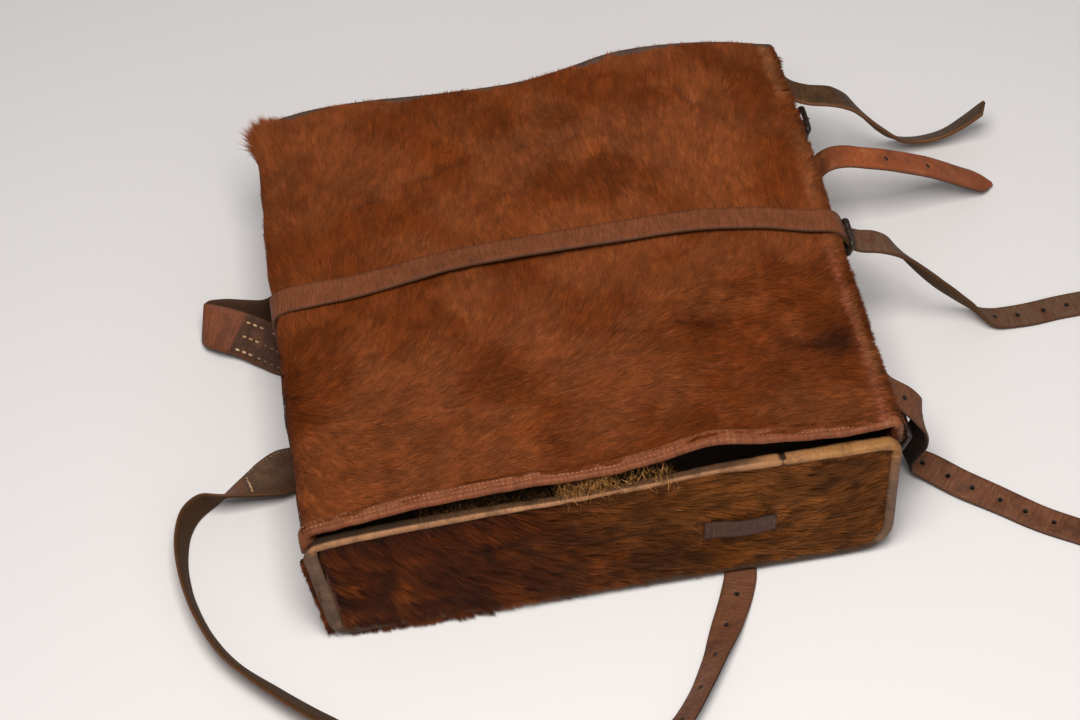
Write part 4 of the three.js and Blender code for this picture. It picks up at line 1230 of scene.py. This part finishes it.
def flap_band(name, edge, inward, section, material, node, wave):
    """Leather band folded over one free edge of the flap."""
    s = np.linspace(FLAP_FIRST, FLAP_LAST, BAND_RINGS)
    ruffle = np.repeat(band_ruffle(s, wave), len(section))
    grid_s = np.repeat(s, len(section))
    y = np.full(len(grid_s), edge, float)
    base = flap_point(grid_s, y)
    out = normals_of(flap_point, grid_s, y)[2]
    depth = np.tile(section[:, 0], len(s)) + ruffle * RUFFLE_IN
    rise = np.tile(section[:, 1], len(s)) + ruffle * RUFFLE_UP
    swell = 1 + BAND_SWELL * top_swell(edge, SWELL_HEIGHT) * near_seam(grid_s)
    thick = np.where(grid_s > LIP_START + 2, LIP_BAND, swell)
    rise = np.where(rise < -2, rise * thick, rise)
    turned = smooth(s, LIP_START + 3, LIP_START + 7)
    rise = rise - np.repeat(turned, len(section)) * np.clip(rise, 0, 0.9)
    points = base + np.array([0, inward, 0]) * depth[:, None] + out * rise[:, None]
    add_tube(name, points, len(s), len(section), material, [node], age=turned[:, None])


def band_line(edge, inward, depth, rise, wave):
    """Line of stitches on a band, with its outward directions."""
    s = np.linspace(FLAP_FIRST, FLAP_LAST, BAND_RINGS)
    ruffle = band_ruffle(s, wave)
    y = np.full(len(s), edge + inward * depth)
    up = normals_of(flap_point, s, y)[2]
    shift = np.array([0, inward, 0]) * (ruffle * RUFFLE_IN)[:, None]
    return flap_point(s, y) + shift + up * (rise + ruffle * RUFFLE_UP)[:, None], up


def make_flap_bands():
    """Stitched bands on the flap's near and far edges."""
    near = (FLAP_NEAR_EDGE, 1)
    far = (FLAP_FAR_EDGE, -1)
    flap_band("flap_band_near", *near, NEAR_BAND_SECTION, BAND, "flap_binding_near", NEAR_WAVE)
    lines = [band_line(*near, depth, rise, NEAR_WAVE) for depth, rise in BAND_STITCH_ROWS]
    add_stitches("band_stitches", lines, THREAD)
    flap_band("flap_band_far", *far, FAR_BAND_SECTION, GREY_BAND, "flap_binding_far", FAR_WAVE)


# Round of the rim's section: distance in from the wall's middle, rise, share of painted shade on the rim's
# inner top under the flap
RIM_SECTION = np.array([
    (-2.7, 0.0, 0.3), (-2.5, 1.3, 0), (-1.8, 2.2, 0), (-0.9, 2.6, 0.85), (0.2, 2.7, 0.98), (2.2, 2.4, 0.98),
    (4.4, 1.7, 0.98), (6.4, 0.2, 0.98), (6.6, -2.6, 0.98), (3.0, -3.2, 0.98), (0.0, -2.8, 0.98),
    (-1.9, -1.9, 0.9),
])
RIM_SIZES = np.array([
    (-180, 1.05), (-120, 0.95), (-60, 0.74), (0, 0.68), (40, 0.78), (75, 0.92), (150, 1.05), (175, 1.05),
])
CRACK_X = 104.0


def rim_line(side):
    """Middle line of a rim, bent down into the edging at both ends."""
    left = np.array([-1.4, -1.8, 0.4, 6]) - PIPING_X
    right = np.array([-6, -2, 0, 0]) + PIPING_X
    x = np.concatenate([left, np.linspace(-150, 150, 16), right])
    drop = np.concatenate([[9, 4, 1, 0], np.zeros(16), [0, 1, 4, 9]])
    z = rim_height(x, side) - RIM_RADIUS - drop
    y = side * (HALF_WIDTH - WALL / 2 + 0.4 * noise(x, 0, 30, 35))
    rows = np.stack([x, y, z, 0 * x, 0 * x], -1)
    return route(rows, 1.5)[:2]


def make_rim(name, side):
    """Padded rim with a light outer edge, painted shade on its inner top under the flap and a dark crack."""
    path, along = rim_line(side)
    run = path[:, 0]
    crack = np.exp(-((run - CRACK_X) / 1.3) ** 2)
    golden = smooth(run, 70, 150)
    size = np.interp(run, *RIM_SIZES.T) + 0.05 * noise(run, 0, 11, 33)
    size = size + 0.04 * noise(run, 0, 4, 34) - 0.2 * crack
    inward = np.tile((0, -side * 1.0, 0), (len(path), 1))
    up = unit(np.cross(along, SIDEWAYS))
    points = path[:, None] + inward[:, None] * RIM_SECTION[:, 0, None] * size[:, None, None]
    points = points + up[:, None] * RIM_SECTION[:, 1, None] * size[:, None, None]
    points = points if side > 0 else points[:, ::-1]
    # Painted shade on the rim's inner top, less where the rim is golden; the crack is darkened as well
    rim_shade_cut = 0.5 * golden + 0.04 * smooth(run, -130, -70)
    rim_shade_and_crack = np.clip(RIM_SECTION[:, 2] * (1 - rim_shade_cut)[:, None] + crack[:, None], 0, 1)
    rim_shade_and_crack = rim_shade_and_crack if side > 0 else rim_shade_and_crack[:, ::-1]
    add_tube(f"rim_roll_{name}", points.reshape(-1, 3), len(path), len(RIM_SECTION), RIM,
             [f"rim_binding_{name}"], shade=rim_shade_and_crack, age=golden[:, None])


def edge_lean(z, side):
    """How far the edging at the pack's top is set in at its foot, or stands out at its near head."""
    return np.interp(z, (7, 86, 98), (4.4, -3.2, -0.8) if side < 0 else (4.4, 0.0, 0.0))


def corner_rows(x, y, radius, first):
    """Quarter round of an edging at a lower corner, from the angle first on."""
    angles = np.linspace(first, first + math.pi / 2, 5)
    return [(x + radius * math.cos(a), y, PIPING_LOW + radius + radius * math.sin(a)) for a in angles]


def make_corner_edging(name, side):
    """Edging round one side wall, set in and leaning at the pack's top corner, with painted shade along its
    foot.
    """
    y = side * PIPING_Y
    heads = [rim_height(np.array([x]), side)[0] - RIM_RADIUS for x in (-PIPING_X, PIPING_X)]
    rows = [(-PIPING_X, y, heads[0] - 2.5), (-PIPING_X, y, 43)]
    rows += corner_rows(-PIPING_X + TOP_CORNER, y, TOP_CORNER, math.pi)
    rows += [(-60, y, PIPING_LOW), (60, y, PIPING_LOW)]
    rows += corner_rows(PIPING_X - BOTTOM_CORNER, y, BOTTOM_CORNER, 1.5 * math.pi)
    rows += [(PIPING_X, y, 57), (PIPING_X, y, heads[1] - 7.5)]
    path, along, _, _ = route(strap_rows(1, *rows), 2.0)
    run = lengths_along(path)
    out = np.tile((0, side * 1.0, 0), (len(path), 1))
    inward = unit(np.cross(along, SIDEWAYS))
    left = smooth(-path[:, 0], 120, 160)
    path[:, 0] = path[:, 0] + left * edge_lean(path[:, 2], side)
    half = PIPING_RADIUS * (0.95 + 0.3 * left + 0.05 * noise(run, 0, 12, 36))
    half = half * (1 - 0.3 * left * smooth(path[:, 2], 86, 95))
    thick = PIPING_RADIUS * (0.8 + 0.06 * noise(run, 0, 9, 37))
    points = tube_rings(path, inward, out, half, thick)
    points[:, 2] = np.maximum(points[:, 2], EDGING_FLOOR)
    golden = smooth(path[:, 2], 62, 106) * (path[:, 0] > 0)
    # Painted shade along the edging's foot by the table
    foot = 0.98 * smooth(20 - path[:, 2], 0, 10)
    add_tube(f"corner_edging_{name}", points, len(path), 14, EDGING, [f"corner_binding_{name}"],
             shade=foot[:, None], age=golden[:, None])


def make_edgings():
    """Rim and edging of each side wall."""
    for name, side in (("near", -1), ("far", 1)):
        make_rim(name, side)
        make_corner_edging(name, side)


def centre_rows():
    """Rows of the centre strap: up the top wall, over the flap and out to its tip."""
    lift = STRAP_OVER_FUR + FLAT
    snug = STRAP_OVER_HINGE + FLAT
    y0 = CENTRE_OVER_FLAP[0][1]
    top = float(flap_height(np.array([HINGE_START]), np.array([float(y0)]))[0])
    swell = float(top_swell(y0, SWELL_HEIGHT))
    rows = list(CENTRE_ON_TOP_WALL)
    for degrees in (90, 60, 30):
        angle = math.radians(degrees)
        reach = HINGE_RADIUS + snug
        x = HINGE_START - reach * math.sin(angle) - swell
        z = top - HINGE_RADIUS + reach * math.cos(angle)
        rows.append((x, y0 + 3 * math.sin(angle), z, 0, STRAP_WIDTH))
    for x, y, tilt, raised in CENTRE_OVER_FLAP:
        half = STRAP_WIDTH / 2
        low, middle, high = flap_height(np.full(3, float(x)), y + np.array([-half, 0, half]))
        turn = math.degrees(math.atan2(high - low, STRAP_WIDTH)) - tilt
        rows.append((x, y, middle + lift + raised, turn, STRAP_WIDTH))
    return rows + CENTRE_TAIL


def lap_stitches(stations, start, end, offsets, slant=0.0):
    """Stitch rows on a strap's face between two lengths, at shares of its width."""
    rows = []
    for offset in offsets:
        inside = (stations["length"] >= start) & (stations["length"] <= end + slant * offset)
        line = stations["place"] + stations["across"] * (stations["width"] * offset)[:, None]
        line = line + stations["face"] * (FLAT + 0.15)
        rows.append((line[inside][::-1], stations["face"][inside][::-1]))
    return rows


def cross_stitches(stations, places, share=0.42, slant=0.0):
    """Stitch rows across a strap at some lengths, square to it or on a slant."""
    rows = []
    for place in places:
        offset = np.linspace(-share, share, 12)
        k = [int(np.argmin(np.abs(stations["length"] - place - slant * a))) for a in offset]
        offset = offset * stations["width"][k]
        line = stations["place"][k] + offset[:, None] * stations["across"][k]
        line = line + stations["face"][k] * (FLAT + 0.1)
        rows.append((line, stations["face"][k]))
    return rows


def make_straps():
    """All the straps, with their holes and the stitches at their roots."""
    make_strap("centre_strap", centre_rows(), BROWN, holes=CENTRE_HOLES, ageing=CENTRE_AGE, seed=51)
    make_strap("corner_strap_near", CORNER_NEAR_ROWS, TAN, holes=CORNER_HOLES, seed=61)
    make_strap("corner_strap_far", CORNER_FAR_ROWS, SMOKE, seed=71)
    make_strap("billet_strap", BILLET_ROWS, RED, holes=BILLET_HOLES, ageing=BILLET_SHADE, seed=81)
    near = make_strap("shoulder_strap_near", SHOULDER_NEAR_ROWS, LOOP, True, ageing=NEAR_AGE, seed=91)
    far = make_strap("shoulder_strap_far", SHOULDER_FAR_ROWS, FAR_LOOP, True, ageing=FAR_AGE, seed=101)
    make_strap("shoulder_billet_near", BILLET_NEAR_ROWS, TAN, True, SHOULDER_NEAR_HOLES, seed=111)
    make_strap("shoulder_billet_far", BILLET_FAR_ROWS, TAN, True, SHOULDER_FAR_HOLES, seed=121)
    keeper = make_strap("side_keeper", KEEPER_ROWS, KEEPER, seed=131)
    far_root = lap_stitches(far, ROOT_START, FAR_ROOT_END, FAR_STITCH_ROWS, FAR_SLANT)
    far_lap = lap_stitches(far, FAR_ROOT_END, LAP_END, FAR_STITCH_ROWS, FAR_SLANT)
    near_root = lap_stitches(near, ROOT_START, LAP_END, NEAR_STITCH_ROWS, NEAR_SLANT)
    add_stitches("root_stitches_far", far_root, FADED)
    add_stitches("lap_stitches_far", far_lap, CREAM)
    add_stitches("root_stitches_near", near_root, FADED)
    add_stitches("lap_stitches_near", cross_stitches(near, (LAP_END + 0.5,), 0.4, NEAR_SLANT), CREAM)
    add_stitches("keeper_stitches", cross_stitches(keeper, KEEPER_STITCH_PLACES), DULL)


def frame_path(width, height, corner=2.2):
    """Closed line of a rectangular frame with rounded corners, across and up."""
    line = []
    for x, y, first in ((1, 1, 0), (-1, 1, 90), (-1, -1, 180), (1, -1, 270)):
        for angle in np.radians(np.linspace(first, first + 90, 6)):
            line.append((x * (width / 2 - corner) + corner * math.cos(angle),
                         y * (height / 2 - corner) + corner * math.sin(angle)))
    return np.array(line)


def wire_frame(name, width, height, wire, place, side, up, nodes, broad=1.0):
    """Metal frame of wire that is round, or broader than it is thick."""
    flat = frame_path(width - 2 * wire * broad, height - 2 * wire * broad)
    path = place + flat[:, :1] * side + flat[:, 1:] * up
    out = np.cross(side, up)
    along = unit(np.roll(path, -1, 0) - np.roll(path, 1, 0))
    inward = unit(np.cross(along, out))
    thick = np.full(len(path), wire)
    points = tube_rings(path, inward, np.tile(out, (len(path), 1)), thick * broad, thick, 10)
    add_tube(name, points, len(path), 10, METAL, nodes, closed=True)


def make_buckle(name, x, y, z, lean, height):
    """Leaning buckle with its prong, and the leather tab that holds it."""
    angle = math.radians(lean)
    up = np.array([math.sin(angle), 0, math.cos(angle)])
    out = np.cross(SIDEWAYS, up)
    place = np.array([x, y, z], float)
    nodes = [f"{name}_buckle"]
    wire_frame(f"{name}_frame", BUCKLE_WIDTH, height, BUCKLE_WIRE, place, SIDEWAYS, up, nodes, 0.7)
    reach = np.linspace(-0.5, 0.42, PRONG_RINGS) * height
    path = place + reach[:, None] * up + out * (BUCKLE_WIRE + 0.4)
    thin = 1.1 - 0.35 * (reach / height + 0.5)
    ring = [np.tile(way, (PRONG_RINGS, 1)) for way in (SIDEWAYS, out)]
    points = tube_rings(path, *ring, thin, thin, 8)
    add_tube(f"{name}_prong", points, PRONG_RINGS, 8, METAL, [f"{name}_buckle_prong"])
    under = place - up * (height / 2 + 0.7)
    wall = HALF_LENGTH + 3 * GAP + FLAT
    rows = strap_rows(
        TAB_WIDTH,
        (wall, y, under[2] - 44), (wall, y, under[2] - 14), ((wall + under[0]) / 2, y, under[2] - 5),
        tuple(under + out * 2.0), tuple(under + up * 4 + out * 3.7), tuple(under + up * 8 + out * 3.2),
    )
    make_strap(f"{name}_tab", rows, SMOKE, nodes=[f"{name}_buckle_tab"], seed=141)


def make_buckles():
    """Closing buckles, and the plain rings of the shoulder straps."""
    for name, row in BUCKLE_ROWS.items():
        make_buckle(name, *row)
    up = np.array([0, 0, 1.0])
    for name, (x, y) in RING_ROWS.items():
        place = np.array([x, y, RING_HEIGHT / 2 + 0.1])
        nodes = [f"shoulder_buckle_{name}"]
        wire_frame(f"{name}_ring", RING_WIDTH, RING_HEIGHT, RING_WIRE, place, SIDEWAYS, up, nodes)


# Frayed padding that shows between the flap and the rim: from x, to x, strands, length, rise, brightness, low
# for painted shade on padding deep in the gap
FRAY_ROWS = [
    (-28, 4, 560, 8, 0, 1.0), (-10, 40, 300, 9, 0, 1.0), (-30, 40, 600, 7, -3, 0.35),
    (-110, -26, 900, 6, -4, 0.22),
]

FRAY_DEPTH = (-167, -158)
FRAY_COLOUR = (190, 134, 76)

# Usual direction of the fibres along X, Y and Z, and how far each part of it varies
FRAY_WAY = [(0, 0.22), (-0.1, 0.25), (1.0, 0.3)]


def make_fray():
    """Golden straw-like fibres that stand behind the rim, with a few hanging over it, and dimmer ones farther
    back in painted shade.
    """
    rng = np.random.default_rng(17)
    strands = []
    lights = []
    for first, last, count, length, rise, light in FRAY_ROWS:
        x = rng.uniform(first, last, count)
        over = rng.random(count) < 0.2 * light
        y = rng.uniform(*FRAY_DEPTH, count)
        root = np.stack([x, y, rim_height(x, -1) + rise + rng.uniform(-3, 5, count)], -1)
        way = np.stack([rng.normal(mean, spread, count) for mean, spread in FRAY_WAY], -1)
        way = unit(np.where(over[:, None], way * (1, 1, 0.1) - (0, 0.5, 0.3), way))
        size = length * rng.uniform(0.5, 1.1, count)
        middle = root + way * (size * 0.5)[:, None]
        tip = middle + (way + rng.normal(0, 0.45, (count, 3))) * (size * 0.5)[:, None]
        strands.append(np.stack([root, middle, tip], 1))
        # Brightness of each strand: the dim rows are painted shade deep in the gap, and each strand varies at
        # random
        lights.append(light * rng.uniform(0.25, 1.3, (count, 1)))
    line = np.concatenate(strands)
    count = len(line)
    side = unit(rng.normal(0, 1, (count, 3))) * 0.15
    points = np.stack([line[:, 0], line[:, 1] - side, line[:, 1] + side, line[:, 2]], 1).reshape(-1, 3)
    first = np.arange(count)[:, None] * 4
    mesh = array_mesh("frayed_padding", points, np.concatenate([first + (0, 1, 2), first + (1, 3, 2)]))
    colour = np.ones((count, 4, 4))
    colour[..., :3] = (srgb(*FRAY_COLOUR) * np.concatenate(lights))[:, None]
    set_attribute(mesh, "tint", "FLOAT_COLOR", np.clip(colour, 0, 1))
    finish_piece(mesh, "frayed_padding", FUR, is_smooth=False)


def make_floor():
    """Pale floor under the pack."""
    bpy.ops.mesh.primitive_plane_add(size=8)
    floor = bpy.context.object
    floor.name = "floor"
    material, tree, shader = new_material("pale_floor")
    set_inputs(tree, shader, {"Base Color": FLOOR_COLOUR, "Roughness": 0.95})
    floor.data.materials.append(material)


def place_object(name, data, place, right, back):
    """Lamp or camera at a place, turned so that it looks away from its back."""
    holder = bpy.data.objects.new(name, data)
    bpy.context.scene.collection.objects.link(holder)
    axes = Matrix(np.stack([right, np.cross(back, right), back], 1).tolist())
    holder.matrix_world = Matrix.Translation(place) @ axes.to_4x4()
    return holder


def make_lights():
    """Even light of the room, and soft lamps that look at the pack."""
    world = bpy.data.worlds.new("soft_room")
    world.use_nodes = True
    room = world.node_tree.nodes["Background"]
    set_inputs(world.node_tree, room, {"Color": ROOM_COLOUR, "Strength": ROOM_STRENGTH})
    bpy.context.scene.world = world
    for name, place, size, power in LAMPS:
        lamp = bpy.data.lights.new(name, "AREA")
        lamp.size = size
        lamp.energy = power
        lamp.color = LAMP_COLOUR
        back = unit(np.array(place) - LAMP_TARGET)
        place_object(name, lamp, place, unit(np.cross(SIDEWAYS, back)), back)


def make_camera():
    """Camera at the photograph's angle."""
    camera = bpy.data.cameras.new("camera")
    camera.lens = CAMERA_LENS
    camera.sensor_width = 36
    camera.sensor_fit = "HORIZONTAL"
    camera.clip_start = 0.05
    place = ((np.array(CAMERA_PLACE) + ORIGIN) * MM).tolist()
    right = unit(np.array(CAMERA_RIGHT))
    back = -unit(np.array(CAMERA_FORWARD))
    bpy.context.scene.camera = place_object("camera", camera, place, right, back)


FUR = fur_material()
HIDE = hide_material("hide", (66, 30, 12), (92, 45, 20))
LINING = hide_material("lining", (138, 112, 90), (168, 140, 114))
# Near-black painted shade for the walls of the straps' holes
HOLE_SHADE = hide_material("punched_hole_shade", (24, 15, 10), (40, 26, 18))
METAL = metal_material("dark_metal", (50, 39, 33), (100, 84, 72))
THREAD = thread_material("thread", (158, 108, 74), (120, 76, 50))
DULL = thread_material("dull_thread", (112, 84, 64), (84, 60, 46))
FADED = thread_material("faded_thread", (158, 128, 102), (116, 88, 68))
CREAM = thread_material("cream_thread", (206, 172, 130), (166, 126, 88))
BROWN = leather_material(
    "strap_brown", (119, 65, 37), (131, 78, 50), (91, 51, 31), (80, 53, 27),
    aged=(99, 75, 57), edge=(74, 46, 32), creases=0.7, ribbed=0.38)
TAN = leather_material(
    "strap_tan", (110, 68, 45), (128, 84, 60), (74, 46, 31), (40, 27, 19),
    edge=(86, 54, 36), creases=0.6)
# The billet's aged colour is the painted shade on its stretch that rises up the wall under the flap's lip
RED = leather_material(
    "strap_red", (152, 79, 42), (172, 106, 66), (114, 59, 33), (70, 45, 28),
    aged=(74, 44, 30), edge=(108, 62, 38), creases=0.22)
SMOKE = leather_material(
    "strap_smoke", (82, 55, 33), (104, 74, 46), (54, 40, 26), (98, 63, 36),
    edge=(116, 76, 50), creases=0.6)
LOOP = leather_material(
    "strap_loop", (112, 64, 38), (132, 92, 66), (76, 48, 32), (68, 43, 20),
    aged=(90, 68, 52), edge=(84, 56, 35), creases=0.5)
FAR_LOOP = leather_material(
    "strap_loop_far", (122, 66, 41), (130, 80, 54), (84, 49, 32), (66, 44, 30),
    aged=(64, 40, 25), edge=(92, 60, 40), creases=0.5)
KEEPER = leather_material(
    "keeper", (76, 50, 37), (92, 66, 52), (56, 38, 28), (54, 38, 30), creases=0.4)
BAND = leather_material(
    "band", (126, 70, 41), (148, 96, 64), (92, 49, 29), (126, 70, 41),
    aged=(64, 27, 11), creases=0.5, roughness=0.44)
GREY_BAND = leather_material(
    "grey_band", (80, 60, 50), (98, 76, 64), (56, 42, 34), (80, 60, 50), creases=0.3)
# The rim's edge colour is the painted shade on its inner top, and the colour of its crack
RIM = leather_material(
    "rim", (152, 107, 73), (178, 132, 92), (92, 64, 44), (152, 107, 73),
    aged=(158, 110, 62), edge=(38, 27, 19), creases=0.15, wear=0.95)
# The edging's edge colour is the painted shade along its foot
EDGING = leather_material(
    "edging", (108, 80, 61), (130, 102, 79), (74, 55, 42), (108, 80, 61),
    aged=(140, 98, 60), edge=(52, 38, 26), creases=0.2)

for node_name in ("back_panel", "top_wall", "bottom_wall", "near_wall", "far_wall"):
    node = frame["nodes"][node_name]
    node.data.materials.clear()
    node.data.materials.append(LINING if node_name == "back_panel" else HIDE)

make_flap_hide()
make_flap_fur()
make_wall_fur()
make_flap_bands()
make_edgings()
make_straps()
make_buckles()
make_fray()
bpy.context.scene.view_settings.view_transform = "Standard"
make_floor()
make_lights()
make_camera()
